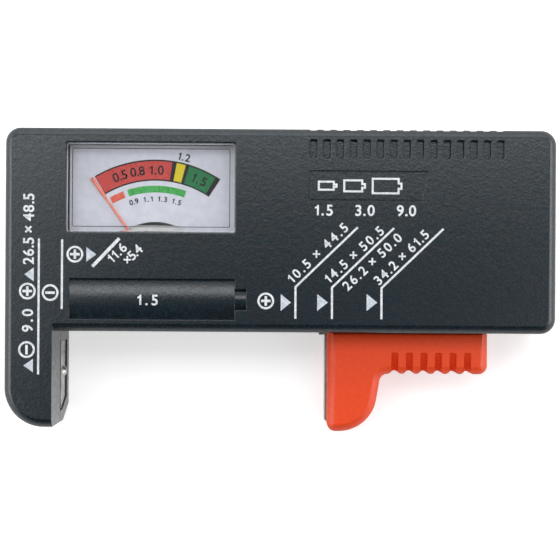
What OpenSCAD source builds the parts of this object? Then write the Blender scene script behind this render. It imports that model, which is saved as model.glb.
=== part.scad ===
// Battery tester: a flat two-shell case with a leg at its left end, an orange arm that slides
// along the underside so that a cell fits between leg and arm, and a small moving-coil meter.
// The tester lies on its back: +X to the right, +Y to its top edge, +Z out of its front.

/* [Case] */
// Width of the case, left to right
case_w = 110.8; // [109:0.1:112]
// Height of the case's main part, without the leg
body_h = 40.9; // [40.6:0.1:42]
// Depth of the case, back to front
case_t = 25; // [25:0.1:26]
// Height of the joint line between the two shells
joint_z = 12.8; // [12.4:0.1:13]
// How far the leg's bottom edge is cut back at the back of the case
bevel_rise = 3; // [2:0.1:3.2]
// Height above the case's back at which that bevel starts
bevel_z = 8; // [7:0.1:9]
// Thickness of the side walls
wall = 1.8; // [1.6:0.1:1.9]
// Thickness of the front and back faces
face_t = 2; // [1.8:0.1:2]
// Radius of the main corners, seen from the front
corner_r = 3; // [2.6:0.1:4]
// Rounding of the front edges
front_round = 1.6; // [1:0.1:1.7]
// Rounding of the back edges
back_round = 2.4; // [1:0.1:2.5]
// Width of the leg
leg_w = 9.7; // [9:0.1:10]
// How far the leg reaches below the main part
leg_drop = 19.35; // [18.5:0.05:19.5]
// Radius of the leg's outer corner
leg_r = 7.9; // [6:0.1:8]

/* [Slider] */
// Distance from the case's left edge to the slider's contact side, as shown
slider_rest = 65.25; // [60:0.05:66]
// Length of the slider along the case
slider_l = 33.1; // [30:0.1:33.4]
// Height of the slider's grip bar
bar_h = 8.45; // [8:0.05:9]
// Width of the slider's arm
arm_w = 10.3; // [10:0.1:12]
// Lean of the arm's right side, away from upright
arm_lean = 9.8; // [6:0.2:12]
// How far the arm reaches below the main part
arm_drop = 20.7; // [20:0.1:21]
// Depth of the slider, back to front
slider_t = 13; // [12:0.1:13.5]
// Height of the slider's back above the case's back
slider_z = 3; // [2.8:0.1:3.2]
// Number of grip grooves
grooves = 6; // [3:1:6]

/* [Meter] */
// Distance from the case's left edge to the pointer's pivot
pivot_from_left = 29.9; // [29.4:0.1:30.4]
// Distance from the top edge down to the pivot
pivot_from_top = 30; // [29.8:0.1:30.3]
// Width of the window
window_w = 33.6; // [32:0.1:34]
// Height of the window
window_h = 18; // [17:0.1:18]
// Length of the pointer from its pivot to its tip
pointer_l = 24; // [22:0.1:24.5]
// Angle of the resting pointer, to the left of straight up
rest_angle = 32; // [28:0.5:34]
// Radius of the magnet
magnet_r = 3.8; // [3.5:0.1:3.9]

/* [Flutes] */
// Number of flutes along the top edge
flutes = 15; // [9:1:15]
// Distance between flutes
flute_pitch = 2.68; // [2.4:0.01:2.7]
// Width of a flute
flute_w = 1.4; // [1.2:0.1:1.6]
// Depth of a flute, in the front face and in the top side
flute_depth = 1; // [0.6:0.1:1.1]

/* [Hidden] */
$fn = 48;

// Edges of the case in its own frame
x_left = -case_w / 2;
x_right = case_w / 2;
y_top = (body_h + arm_drop) / 2;
y_body = y_top - body_h;
y_leg = y_body - leg_drop;
y_arm = y_body - arm_drop;
x_leg = x_left + leg_w;
face_in = case_t - face_t;
y_floor = y_body + wall;

// Fits
fit = 0.1;
slack = 0.15;
sheet = 0.4;
lip_h = 1.2;
lip_in = 1.0;

// Slot that the slider's neck runs in, and the slider's travel
travel_left = 53.4;
travel_right = 12;
slot_z = [4.6, 8.4];
neck_gap = 0.4;
neck_l = 25;
x_slider = x_left + slider_rest;
slot_x = [x_slider - travel_left - sheet - 0.65, x_slider + travel_right + neck_l + 0.75];
slider_gap = 0.3;
y_slider_top = y_body - slider_gap;
y_bar = y_slider_top - bar_h;
flange_t = 1.95;
flange_z = [3.1, 9.9];
y_flange = y_floor + slack;
slider_round = 1.6;
slider_top_round = 0.9;
arm_corner_r = 1.7;
arm_round_r = 7.9;
bar_r = 1.8;
inner_r = 1.8;
groove_pitch = 3;
groove_r = 0.7;
groove_first = 13.9;
groove_top = 4.45;
groove_slope = 20;

// Rails above the slider's flange
rail_y = y_flange + flange_t + 1.9;
rail_z = [3.4, 9.4];
rib_t = 1.6;
rib_top = 9.8;
cell_rail_x = [x_left + 41.4, x_right - 12.4];
button_rail_x = [x_left + 13.4, x_left + 35.4];

// Contacts in the leg and in the left side
leg_slot_z = 2.8;
leg_slot_y = [y_leg + 2.35, y_body - 2.5];
leg_strip_w = 7;
nine_pitch = 12.7;
nine_from_top = 32.1;
nine_half = 3.2;
nine_z = [3.6, 11];

// Meter: heights above the case's back
base_z = case_t - 14.8;
base_t = 1.2;
base_top = base_z + base_t;
coil_z = [case_t - 12.2, case_t - 6.6];
card_z = case_t - 5.8;
card_t = 0.4;
pointer_z = case_t - 4.8;
blade_l = 4.3;
bridge_z = case_t - 4.1;
bridge_t = 0.6;
cover_top = case_t - 2.2;
window_top = case_t - 0.4;
pivot_x = x_left + pivot_from_left;
pivot_y = y_top - pivot_from_top;

// Meter: outlines, as [left, bottom] and [right, top]
window_lo = [x_left + 12.8, y_top - 2.75 - window_h + 0.2];
window_hi = window_lo + [window_w - 0.2, window_h - 0.2];
meter_lo = [window_lo[0] - 1.6, y_floor + 0.7];
meter_hi = [window_hi[0] + 1.6, y_top - wall - 0.2];
cover_wall = 1;

// Meter: movement
coil_w = 1.8;
winding_t = 0.55;
former_t = 0.35;
coil_half = magnet_r + 0.5 + former_t + winding_t;
yoke_r = [6, 7.4];
shaft_r = 0.4;
jewel_play = 0.05;
collar_r = 0.85;
spring_r = [0.98, 3.4];
spring_t = 0.12;
spring_turns = 3.5;
card_hole_r = 11.3;
pillar_at = 9.2;
pillar_r = 1.3;
stop_at = 9.6;
stop_r = 0.5;
stop_angle = rest_angle + 5.4;

// Relief of a cell on the front face
relief_lo = [x_left + 13.1, y_top - 38.5];
relief_size = [33.2, 8.2];
relief_depth = 0.8;
nub_size = [2.3, 4.2];

// Screws that hold the case together
screw_r = 1.1;
head_r = 2;
head_z = 1;
head_t = 1.6;
boss_r = 3.2;
post_r = 2.6;
screw_at = [[x_left + 5.6, y_top - 6], [x_right - 5.6, y_top - 6],
    [x_right - 5.6, y_top - 29.8], [x_left + 52.9, y_top - 26.8]];

// Circuit board and what it carries
board_lo = [x_left + 63.4, y_top - 24.3];
board_size = [32, 15];
board_z = 6;
board_t = 1.2;
board_top = board_z + board_t;
board_screw_at = [board_lo + [2.5, 2.5], board_lo + board_size - [2.5, 2.5]];
lead_r = 0.3;
wire_r = 0.5;
wire_sides = 10;

case_grey = [0.2, 0.23, 0.24];
slider_orange = [0.88, 0.32, 0.15];
nickel = [0.75, 0.74, 0.7];
brass = [0.78, 0.62, 0.3];
copper = [0.75, 0.4, 0.22];
steel = [0.6, 0.61, 0.62];
black = [0.07, 0.07, 0.08];
ivory = [0.85, 0.84, 0.8];

// ---------- helpers ----------

// A box from its lowest to its highest corner
module block(lo, hi) {
    translate(lo) cube(hi - lo);
}

// A rectangle with its own radius at each corner, in the order [bl, br, tr, tl]
module corner_rect(lo, hi, radii) {
    at = [[lo[0], lo[1]], [hi[0], lo[1]], [hi[0], hi[1]], [lo[0], hi[1]]];
    inward = [[1, 1], [-1, 1], [-1, -1], [1, -1]];
    difference() {
        translate(lo) square(hi - lo);
        for (k = [0 : 3]) if (radii[k] > 0)
            translate(at[k] + radii[k] / 2 * inward[k]) square(radii[k], center = true);
    }
    for (k = [0 : 3]) if (radii[k] > 0) intersection() {
        translate(at[k] + radii[k] * inward[k]) circle(radii[k]);
        translate(at[k] + (radii[k] / 2 + 0.1) * inward[k]) square(radii[k] + 0.2, center = true);
    }
}

// What a rounding takes off a square edge: the corner outside a quarter circle
module rounding(r) {
    difference() {
        square(r + 0.5);
        circle(r);
    }
}

// Rounds a straight edge that runs from a to b, with the outside on its right
module edge_cut(a, b, r) {
    d = b - a;
    translate([b[0], b[1], -r]) rotate(atan2(d[1], d[0]))
        translate([0, r, 0]) rotate([90, 0, -90]) linear_extrude(norm(d)) rounding(r);
}

// Rounds the edge of an outside corner, from one angle through a sweep
module corner_cut(centre, corner, r, from, sweep = 90) {
    translate([centre[0], centre[1], -r]) rotate(from)
        rotate_extrude(angle = sweep) translate([corner - r, 0]) rounding(r);
}

// Outline of the case, moved in by a distance
module outline(in) {
    r = corner_r - in;
    corner_rect([x_left + in, y_body + in], [x_right - in, y_top - in], [0, r, r, r]);
    corner_rect([x_left + in, y_leg + in], [x_leg - in, y_body + in + 1], [leg_r - in, 0, 0, 0]);
}

// Rounds the edges of the case's outline, for a face at height 0; the leg's inner side stays sharp
module outline_cuts(r) {
    c = corner_r;
    edge_cut([x_left, y_top - c], [x_left, y_leg + leg_r], r);
    corner_cut([x_left + leg_r, y_leg + leg_r], leg_r, r, 180);
    edge_cut([x_left + leg_r, y_leg], [x_leg + 1, y_leg], r);
    edge_cut([x_leg, y_body], [x_right - c, y_body], r);
    corner_cut([x_right - c, y_body + c], c, r, -90);
    edge_cut([x_right, y_body + c], [x_right, y_top - c], r);
    corner_cut([x_right - c, y_top - c], c, r, 0);
    edge_cut([x_right - c, y_top], [x_left + c, y_top], r);
    corner_cut([x_left + c, y_top - c], c, r, 90);
}

// A point on the smooth curve between the second and third of four points
function curve(p, t) = 0.5 * (2 * p[1] + (p[2] - p[0]) * t
    + (2 * p[0] - 5 * p[1] + 4 * p[2] - p[3]) * t * t
    + (3 * p[1] - p[0] - 3 * p[2] + p[3]) * t * t * t);

// Smooth route through points, with a number of steps between neighbours
function route(p, steps) = let (last = len(p) - 1) concat(
    [for (i = [0 : last - 1], j = [0 : steps - 1])
        curve([p[max(i - 1, 0)], p[i], p[i + 1], p[min(i + 2, last)]], j / steps)],
    [p[last]]);
function unit(v) = v / norm(v);
function across(n, t) = unit(n - (n * t) * t);

// An insulated wire: one ring of points around each point of its route
module wire(points) {
    path = route(points, 4);
    last = len(path) - 1;
    s = wire_sides;
    t = concat([unit(points[1] - points[0])],
        [for (i = [1 : last - 1]) unit(path[i + 1] - path[i - 1])],
        [unit(path[last] - points[len(points) - 2])]);
    n = [for (i = 0, v = across([0.3, 0.2, 1], t[0]); i <= last;
        i = i + 1, v = across(v, t[min(i, last)])) v];
    rings = [for (i = [0 : last], k = [0 : s - 1]) path[i]
        + wire_r * (cos(360 * k / s) * n[i] + sin(360 * k / s) * cross(t[i], n[i]))];
    sides = [for (i = [0 : last - 1], k = [0 : s - 1], half = [0, 1])
        let (a = i * s + k, b = i * s + (k + 1) % s)
        half == 0 ? [a, a + s, b + s] : [a, b + s, b]];
    caps = [[for (k = [0 : s - 1]) k], [for (k = [s - 1 : -1 : 0]) last * s + k]];
    polyhedron(rings, concat(sides, caps));
}

// Flat spiral spring around the pivot, from an angle, its lower face at height 0
module hairspring(from) {
    steps = 22 * spring_turns;
    grow = (spring_r[1] - spring_r[0]) / steps;
    function at(i, off) = (spring_r[0] + grow * i + off)
        * [cos(from + 360 * spring_turns * i / steps), sin(from + 360 * spring_turns * i / steps)];
    linear_extrude(0.3) polygon(concat([for (i = [0 : steps]) at(i, spring_t)],
        [for (i = [steps : -1 : 0]) at(i, 0)]));
}

// A resistor along X between two leads that go down through the board
module resistor(centre, body_r, body_l, pitch) {
    translate([centre[0], centre[1], board_top + body_r + 0.1]) {
        rotate([0, 90, 0]) cylinder(r = body_r, h = body_l, center = true);
        for (side = [-1, 1]) {
            translate([side * (body_l / 2 - 0.9), 0, 0]) rotate([0, 90, 0])
                cylinder(r = body_r + 0.1, h = 1.4, center = true);
            translate([side * (body_l / 2 + (pitch - body_l) / 4), 0, 0]) rotate([0, 90, 0])
                cylinder(r = lead_r, h = (pitch - body_l) / 2 + 0.4, center = true);
            translate([side * pitch / 2, 0, -body_r - 0.1 - board_t - 0.6])
                cylinder(r = lead_r - 0.02, h = body_r + board_t + 0.8);
        }
    }
}
cell_load = [board_lo[0] + 14, board_lo[1] + 12, 1.8, 9, 13];
cell_series = [board_lo[0] + 22, board_lo[1] + 8.6, 1.1, 6.2, 10];
nine_load = [board_lo[0] + 12, board_lo[1] + 6, 1.1, 6.2, 10];
nine_series = [board_lo[0] + 22, board_lo[1] + 3.6, 1.1, 6.2, 10];
parts_on_board = [cell_load, cell_series, nine_load, nine_series];

module on_board(p) {
    resistor([p[0], p[1]], p[2], p[3], p[4]);
}

// ---------- case ----------

// One sunken flute of the front face, with a round lower end
module flute2d() {
    low = y_top - 5.9;
    high = y_top - 2.3;
    translate([-flute_w / 2, low + flute_w / 2]) square([flute_w, high - low - flute_w / 2]);
    translate([0, low + flute_w / 2]) circle(flute_w / 2);
}

// The flutes of the front face, each with a notch in the top side above it
module flute_cuts() {
    for (i = [0 : flutes - 1]) translate([x_left + 61.9 + i * flute_pitch, 0, 0]) {
        translate([0, 0, case_t - flute_depth]) linear_extrude(2) flute2d();
        block([-flute_w / 2, y_top - flute_depth, joint_z + 2.4], [flute_w / 2, y_top + 1, case_t - 0.6]);
    }
}

// Pocket with a floor shaped like the side of a cell, level with the face along its middle
module relief_cut() {
    half = relief_size[1] / 2;
    r = (half * half + relief_depth * relief_depth) / (2 * relief_depth);
    nub_half = nub_size[1] / 2;
    nub_r = (nub_half * nub_half + relief_depth * relief_depth) / (2 * relief_depth);
    middle = relief_lo[1] + half;
    x_end = relief_lo[0] + relief_size[0];
    difference() {
        block([relief_lo[0], middle - half, case_t - relief_depth], [x_end, middle + half, case_t + 1]);
        translate([relief_lo[0] - 1, middle, case_t - r]) rotate([0, 90, 0])
            cylinder(r = r, h = relief_size[0] + 2, $fn = 96);
    }
    difference() {
        block([x_end - 0.01, middle - nub_half, case_t - relief_depth],
            [x_end + nub_size[0], middle + nub_half, case_t + 1]);
        translate([x_end - 1, middle, case_t - nub_r]) rotate([0, 90, 0])
            cylinder(r = nub_r, h = nub_size[0] + 2, $fn = 96);
    }
}

// Thin line cut around the place of a name plate
module plate_line() {
    lo = [x_left + 61, y_top - 14.4];
    size = [24, 6];
    slant = 1.3;
    line = 0.25;
    function frame(in) = [[lo[0] + in, lo[1] + in], [lo[0] + size[0] - slant - in, lo[1] + in],
        [lo[0] + size[0] - in, lo[1] + size[1] - in], [lo[0] + in, lo[1] + size[1] - in]];
    translate([0, 0, case_t - 0.2]) linear_extrude(1) difference() {
        polygon(frame(0));
        polygon(frame(line));
    }
}

// The slot in the leg with its slanting lower end, or the strip that fills it less a gap
module leg_slot(gap, depth, top) {
    y = leg_slot_y + [gap, -gap];
    z = leg_slot_z + gap;
    rotate([90, 0, 90]) linear_extrude(depth)
        polygon([[y[0], top], [y[0], z + 6.5], [y[0] + 2.4, z], [y[1], z], [y[1], top]]);
}

module skirt(gap) {
    block([slot_x[0] + gap, y_body, slot_z[1]], [slot_x[1] - gap, y_floor, joint_z + 1.5]);
}

module front_shell() color(case_grey) difference() {
    union() {
        difference() {
            translate([0, 0, joint_z]) linear_extrude(case_t - joint_z) outline(0);
            translate([0, 0, joint_z - 1]) linear_extrude(face_in - joint_z + 1) outline(wall);
        }
        skirt(fit);
        for (p = screw_at) translate([p[0], p[1], joint_z])
            cylinder(r = post_r, h = case_t - joint_z - 1);
    }
    difference() {
        translate([0, 0, joint_z - 1]) linear_extrude(lip_h + 1.1) difference() {
            outline(lip_in - fit);
            outline(wall + 0.01);
        }
        skirt(0);
    }
    block([window_lo[0] - fit, window_lo[1] - fit, face_in - 1],
        [window_hi[0] + fit, window_hi[1] + fit, case_t + 1]);
    flute_cuts();
    relief_cut();
    plate_line();
    for (p = screw_at) translate([p[0], p[1], joint_z - 1]) cylinder(r = screw_r, h = 8);
    translate([0, 0, case_t]) outline_cuts(front_round);
}

// A rib along the inside that a rail is clipped over
module rail_rib(x) {
    block([x[0] + sheet, rail_y + sheet, face_t - 0.5], [x[1] - sheet, rail_y + sheet + rib_t, rib_top]);
}

// The slanting cut across the bottom of the leg, moved in by a distance
module leg_bevel(in) {
    slope = bevel_rise / bevel_z;
    up = in * norm([1, slope]);
    translate([x_left - 1, 0, 0]) rotate([90, 0, 90]) linear_extrude(leg_w + 2)
        polygon([[y_leg + up - 8 * slope, bevel_z + 8], [y_leg + up + bevel_rise + slope, -1],
            [y_leg - 8, -1], [y_leg - 8, bevel_z + 8]]);
}

module back_shell() color(case_grey) difference() {
    union() {
        difference() {
            linear_extrude(joint_z) outline(0);
            difference() {
                translate([0, 0, face_t]) linear_extrude(joint_z) outline(wall);
                leg_bevel(wall);
            }
        }
        translate([0, 0, joint_z - 1]) linear_extrude(lip_h + 1) difference() {
            outline(lip_in);
            outline(wall);
        }
        for (p = screw_at) translate([p[0], p[1], 1]) cylinder(r = boss_r, h = joint_z - 1);
        for (p = board_screw_at) translate([p[0], p[1], 1]) cylinder(r = 2, h = board_z - 1);
        for (x = [meter_lo[0] + 2.2, meter_hi[0] - 2.2], y = [pivot_y + 3, meter_hi[1] - 2.5])
            translate([x, y, 1]) cylinder(r = 1.5, h = base_z - 1);
        rail_rib(cell_rail_x);
        rail_rib(button_rail_x);
    }
    block([slot_x[0], y_body - 1, slot_z[0]], [slot_x[1], y_floor + 0.01, joint_z + 3]);
    translate([x_leg - wall - 1, 0, 0]) leg_slot(0, wall + 2, joint_z + 3);
    for (k = [0, 1]) translate([0, y_top - nine_from_top - k * nine_pitch, 0])
        block([x_left - 1, -nine_half, nine_z[0]], [x_left + wall + 0.5, nine_half, nine_z[1]]);
    for (p = screw_at) translate([p[0], p[1], -1]) {
        cylinder(r = head_r + 0.2, h = head_z + head_t + 1);
        cylinder(r = screw_r + 0.2, h = joint_z + 3);
    }
    for (p = board_screw_at) translate([p[0], p[1], face_t]) cylinder(r = 0.8, h = board_z);
    mirror([0, 0, 1]) outline_cuts(back_round);
    leg_bevel(0);
}

module case_screws() color(steel) for (p = screw_at) translate([p[0], p[1], head_z]) difference() {
    union() {
        cylinder(r = head_r, h = head_t);
        cylinder(r = screw_r, h = 18);
    }
    for (a = [0, 90]) rotate(a) translate([0, 0, 0.3]) cube([2.4, 0.6, 1.4], center = true);
}

// ---------- meter ----------

module meter_cover() color([0.85, 0.9, 0.92, 0.4]) difference() {
    union() {
        block([meter_lo[0], meter_lo[1], base_top], [meter_hi[0], meter_hi[1], cover_top]);
        block([window_lo[0], window_lo[1], cover_top - 1], [window_hi[0], window_hi[1], window_top]);
    }
    block([meter_lo[0] + cover_wall, meter_lo[1] + cover_wall, base_top - 1],
        [meter_hi[0] - cover_wall, meter_hi[1] - cover_wall, cover_top - 0.8]);
    block([window_lo[0] + cover_wall, window_lo[1] + cover_wall, cover_top - 2],
        [window_hi[0] - cover_wall, window_hi[1] - cover_wall, window_top - cover_wall]);
}

// Base plate with two posts and a rib that the scale card lies on
module meter_base() color(ivory) difference() {
    union() {
        block([meter_lo[0], meter_lo[1], base_z], [meter_hi[0], meter_hi[1], base_top]);
        block([pivot_x - 7.5, pivot_y + 8.8, base_top - 0.1], [pivot_x + 7.5, pivot_y + 10.55, card_z]);
        for (x = [meter_lo[0] + cover_wall + 0.3, meter_hi[0] - cover_wall - 2.7])
            block([x, pivot_y + 1, base_top - 0.1], [x + 2.4, meter_hi[1] - 2, card_z]);
    }
    translate([pivot_x, pivot_y, base_z - 1]) cylinder(r = 1.2, h = 4);
    for (p = terminal_at) block([p[0], p[1], base_z - 1], [p[0] + sheet, p[1] + 2.5, base_top + 1]);
}
terminal_at = [[meter_hi[0] - 8, pivot_y + 12], [meter_hi[0] - 8, pivot_y + 17]];

module scale_plate() color([0.86, 0.86, 0.9]) translate([0, 0, card_z]) linear_extrude(card_t)
difference() {
    translate([meter_lo[0] + cover_wall + 0.3, pivot_y])
        square([meter_hi[0] - meter_lo[0] - 2 * cover_wall - 0.6, meter_hi[1] - cover_wall - 0.2 - pivot_y]);
    translate([pivot_x, pivot_y]) circle(card_hole_r);
}

module core_magnet() color([0.35, 0.34, 0.34])
    translate([pivot_x, pivot_y, coil_z[0] + winding_t + former_t + 0.25])
        cylinder(r = magnet_r, h = coil_z[1] - coil_z[0] - 2 * (winding_t + former_t + 0.25));

module yoke_ring() color(steel) translate([pivot_x, pivot_y, base_top])
    linear_extrude(coil_z[1] - base_top - 0.2) difference() {
        circle(yoke_r[1]);
        circle(yoke_r[0]);
    }

module core_spacers() color(brass) translate([pivot_x, pivot_y, coil_z[0] + 1.4])
    linear_extrude(2.8) difference() {
        intersection() {
            circle(yoke_r[0]);
            square([2.4, 3 * yoke_r[0]], center = true);
        }
        circle(magnet_r);
    }

module bridge() color(brass) translate([pivot_x, pivot_y, bridge_z])
    linear_extrude(bridge_t) difference() {
        union() {
            square([2 * pillar_at, 3.4], center = true);
            for (side = [-1, 1]) translate([side * pillar_at, 0]) circle(1.7);
        }
        circle(1.2);
        for (side = [-1, 1]) translate([side * pillar_at, 0]) circle(0.7);
    }

module bridge_pillars() color(brass) for (side = [-1, 1])
    translate([pivot_x + side * pillar_at, pivot_y, base_top]) difference() {
        cylinder(r = pillar_r, h = bridge_z - base_top);
        translate([0, 0, bridge_z - base_top - 2.2]) cylinder(r = 0.7, h = 3);
    }

module bridge_screws() color(steel) for (side = [-1, 1])
    translate([pivot_x + side * pillar_at, pivot_y, bridge_z - 2]) difference() {
        union() {
            cylinder(r = 0.7, h = 2 + bridge_t + 0.2);
            translate([0, 0, 2 + bridge_t]) cylinder(r = 1.25, h = 0.4);
        }
        translate([0, 0, 2.9 + bridge_t]) cube([3, 0.3, 1.4], center = true);
    }

module upper_jewel_screw() color(brass) translate([pivot_x, pivot_y, bridge_z - 0.2]) difference() {
    cylinder(r = 1.2, h = 1.15);
    translate([0, 0, -1]) cylinder(r = shaft_r + jewel_play, h = 1.7);
}

module lower_jewel_screw() color(brass) translate([pivot_x, pivot_y, base_z - 1]) difference() {
    cylinder(r = 1.2, h = base_t + 1.4);
    translate([0, 0, base_t + 0.6]) cylinder(r = shaft_r + jewel_play, h = 2);
}

// Arm on the bridge whose pin holds the outer end of the upper hairspring
module zero_adjuster() color(brass) translate([pivot_x, pivot_y, 0]) {
    translate([0, 0, bridge_z - 0.2]) linear_extrude(0.2) difference() {
        union() {
            circle(1.9);
            translate([0, -0.4]) square([4.3, 0.8]);
        }
        circle(1.2);
    }
    translate([3.95, 0, coil_z[1] + 0.6]) cylinder(r = 0.3, h = bridge_z - coil_z[1] - 0.7);
}

module lower_spring_post() color(brass)
    translate([pivot_x + 4.3, pivot_y, base_top]) cylinder(r = 0.4, h = 1.1);

module meter_terminals() color(brass) for (p = terminal_at)
    block([p[0], p[1], base_z - 3.2], [p[0] + sheet, p[1] + 2.5, base_top + 0.5]);

module pointer_stops() color(steel) for (side = [-1, 1])
    translate([pivot_x + side * stop_at * sin(stop_angle), pivot_y + stop_at * cos(stop_angle), base_top])
        cylinder(r = stop_r, h = pointer_z - base_top + 0.7);

module upper_hairspring() color(copper)
    translate([pivot_x, pivot_y, coil_z[1] + 0.65]) hairspring(-1260);

module lower_hairspring() color(copper)
    translate([pivot_x, pivot_y, coil_z[0] - 0.65]) hairspring(-1260);

// Turns what it holds about the pivot to the resting pointer's angle
module at_rest_angle() {
    translate([pivot_x, pivot_y, 0]) rotate(rest_angle) children();
}

// A closed loop across the pivot, seen from the side, moved in by a distance
module coil_loop(in, t) {
    half = coil_half - in;
    difference() {
        block([-half, -coil_w / 2, coil_z[0] + in], [half, coil_w / 2, coil_z[1] - in]);
        block([t - half, -coil_w, coil_z[0] + in + t], [half - t, coil_w, coil_z[1] - in - t]);
    }
}

module coil_winding() color(copper) at_rest_angle() coil_loop(0, winding_t);

module coil_former() color(steel) at_rest_angle() coil_loop(winding_t, former_t);

module coil_pivots() color(steel) at_rest_angle() {
    translate([0, 0, coil_z[1]]) {
        cylinder(r = 1.1, h = 0.4);
        cylinder(r = collar_r, h = 1.1);
        cylinder(r = shaft_r, h = bridge_z - coil_z[1] + 0.35);
    }
    translate([0, 0, coil_z[0] - 0.25]) cylinder(r = 1.1, h = 0.25);
    translate([0, 0, coil_z[0] - 0.7]) cylinder(r = collar_r, h = 0.7);
    translate([0, 0, base_z + 1]) cylinder(r = shaft_r, h = coil_z[0] - base_z - 1);
}

module pointer_hub() color(black) at_rest_angle() translate([0, 0, pointer_z - 0.5])
    linear_extrude(0.5) difference() {
        circle(1.4);
        circle(shaft_r);
    }

module pointer() color([0.95, 0.4, 0.3]) at_rest_angle() translate([0, 0, pointer_z])
    linear_extrude(0.2) difference() {
        union() {
            circle(1.4);
            polygon([[-0.3, 0], [0.3, 0], [0.2, pointer_l - blade_l - 0.4], [0.38, pointer_l - blade_l],
                [0.38, pointer_l - 0.2], [0.2, pointer_l], [-0.2, pointer_l], [-0.38, pointer_l - 0.2],
                [-0.38, pointer_l - blade_l], [-0.2, pointer_l - blade_l - 0.4]]);
            translate([-0.35, -6]) square([0.7, 6]);
        }
        circle(shaft_r + 0.02);
    }

module counterweights() color(brass) at_rest_angle()
    translate([0, -5.2, pointer_z - 0.8]) cylinder(r = 0.75, h = 0.8);

// ---------- contacts and rails ----------

module leg_contact() color(nickel) {
    x = x_leg - 0.3;
    z = [leg_slot_z + fit, leg_slot_z + fit + leg_strip_w];
    y = [leg_slot_y[0] + fit, leg_slot_y[1] - fit];
    in = 2.6;
    translate([x - sheet, 0, 0]) leg_slot(fit, sheet, z[1]);
    translate([x - 0.1, y[0] + 7.9, z[0] + 3.3]) rotate([0, 90, 0]) cylinder(r1 = 1.4, r2 = 0.7, h = 0.75);
    block([x - in, y[1] - sheet, z[0]], [x, y[1], z[1] - 1]);
    block([x - in, y[1] - sheet, z[0]], [x - in + sheet, y_floor + 8, z[1] - 2]);
    block([x - in + 0.6, y[0], z[1] - 0.5], [x, y[0] + sheet, z[1]]);
}
leg_tab_x = x_leg - 0.3 - 2.6 + sheet;

// Contact plate level with the left side, with a tail that goes inside
module nine_volt_contact(k) {
    y = y_top - nine_from_top - k * nine_pitch;
    half = nine_half - fit;
    block([x_left + 0.05, y - half, nine_z[0] + fit], [x_left + 0.05 + sheet, y + half, nine_z[1] - fit]);
    block([x_left + 0.05, y + half - sheet, nine_z[0] + 1], [x_left + 3.8, y + half, nine_z[1] - 1]);
}

module nine_volt_positive() color(nickel) nine_volt_contact(0);

module nine_volt_negative() color(nickel) nine_volt_contact(1);

// A strip under its rib, with both ends bent up around the rib
module rail(x) {
    block([x[0], rail_y, rail_z[0]], [x[1], rail_y + sheet, rail_z[1]]);
    for (end = [x[0], x[1] - sheet])
        block([end, rail_y, rail_z[0]], [end + sheet, rail_y + 3.4, rail_z[1]]);
}

module cell_rail() color(nickel) rail(cell_rail_x);

module button_rail() color(nickel) rail(button_rail_x);

// ---------- circuit ----------

module circuit_board() color([0.55, 0.4, 0.22]) translate([0, 0, board_z])
linear_extrude(board_t) difference() {
    translate(board_lo) square(board_size);
    for (p = board_screw_at) translate(p) circle(1);
    for (p = parts_on_board, side = [-1, 1])
        translate([p[0] + side * p[4] / 2, p[1]]) circle(lead_r + 0.05);
}

module board_screws() color(steel) for (p = board_screw_at)
    translate([p[0], p[1], board_top]) difference() {
        union() {
            cylinder(r = 1.6, h = 1);
            translate([0, 0, -4]) cylinder(r = 0.8, h = 4.2);
        }
        for (a = [0, 90]) rotate(a) translate([0, 0, 1]) cube([2, 0.5, 1], center = true);
    }

module cell_load_resistor() color([0.75, 0.7, 0.6]) on_board(cell_load);

module cell_series_resistor() color([0.45, 0.65, 0.75]) on_board(cell_series);

module nine_volt_load_resistor() color([0.8, 0.65, 0.45]) on_board(nine_load);

module nine_volt_series_resistor() color([0.45, 0.65, 0.75]) on_board(nine_series);

// Wires start and end square to the metal that they are soldered to
board_x = board_lo[0];
board_y = board_lo[1];
wire_z = 3.6;

module leg_wire() color([0.1, 0.1, 0.12]) wire([
    [leg_tab_x, y_floor + 6.5, 4.6], [leg_tab_x + 1.2, y_floor + 6.5, 4.6],
    [leg_tab_x + 4, y_floor + 8, 4.2], [leg_tab_x + 6.8, y_floor + 9.1, 4],
    [leg_tab_x + 11, y_floor + 10, 3.8], [pivot_x - 4, pivot_y + 9, wire_z],
    [pivot_x + 14, pivot_y + 10.5, wire_z], [board_x - 5, board_y + 7.7, wire_z],
    [board_x + 1.5, board_y + 9, 4.2], [board_x + 3, board_y + 9, board_z - 0.8],
    [board_x + 3, board_y + 9, board_z]]);

module cell_rail_wire() color([0.75, 0.1, 0.1]) wire([
    [cell_rail_x[1], rail_y + 2.6, 6], [cell_rail_x[1] + 0.9, rail_y + 2.6, 6],
    [cell_rail_x[1] + 1.6, rail_y + 4.8, 5.5], [cell_rail_x[1] - 1, rail_y + 8.3, 4.2],
    [board_x + 28, board_y + 1, wire_z], [board_x + 27, board_y + 4.5, 4.2],
    [board_x + 27, board_y + 5.6, board_z - 0.8], [board_x + 27, board_y + 5.6, board_z]]);

module button_rail_wire() color([0.1, 0.35, 0.7]) wire([
    [button_rail_x[1], rail_y + 2.6, 6], [button_rail_x[1] + 1, rail_y + 2.6, 6],
    [button_rail_x[1] + 3.5, rail_y + 5.8, 5], [button_rail_x[1] + 10, rail_y + 11.3, 4],
    [board_x - 10.5, board_y + 2.1, wire_z], [board_x - 4, board_y + 4, wire_z],
    [board_x + 1.5, board_y + 5.6, 4.2], [board_x + 3, board_y + 5.6, board_z - 0.8],
    [board_x + 3, board_y + 5.6, board_z]]);

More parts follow.
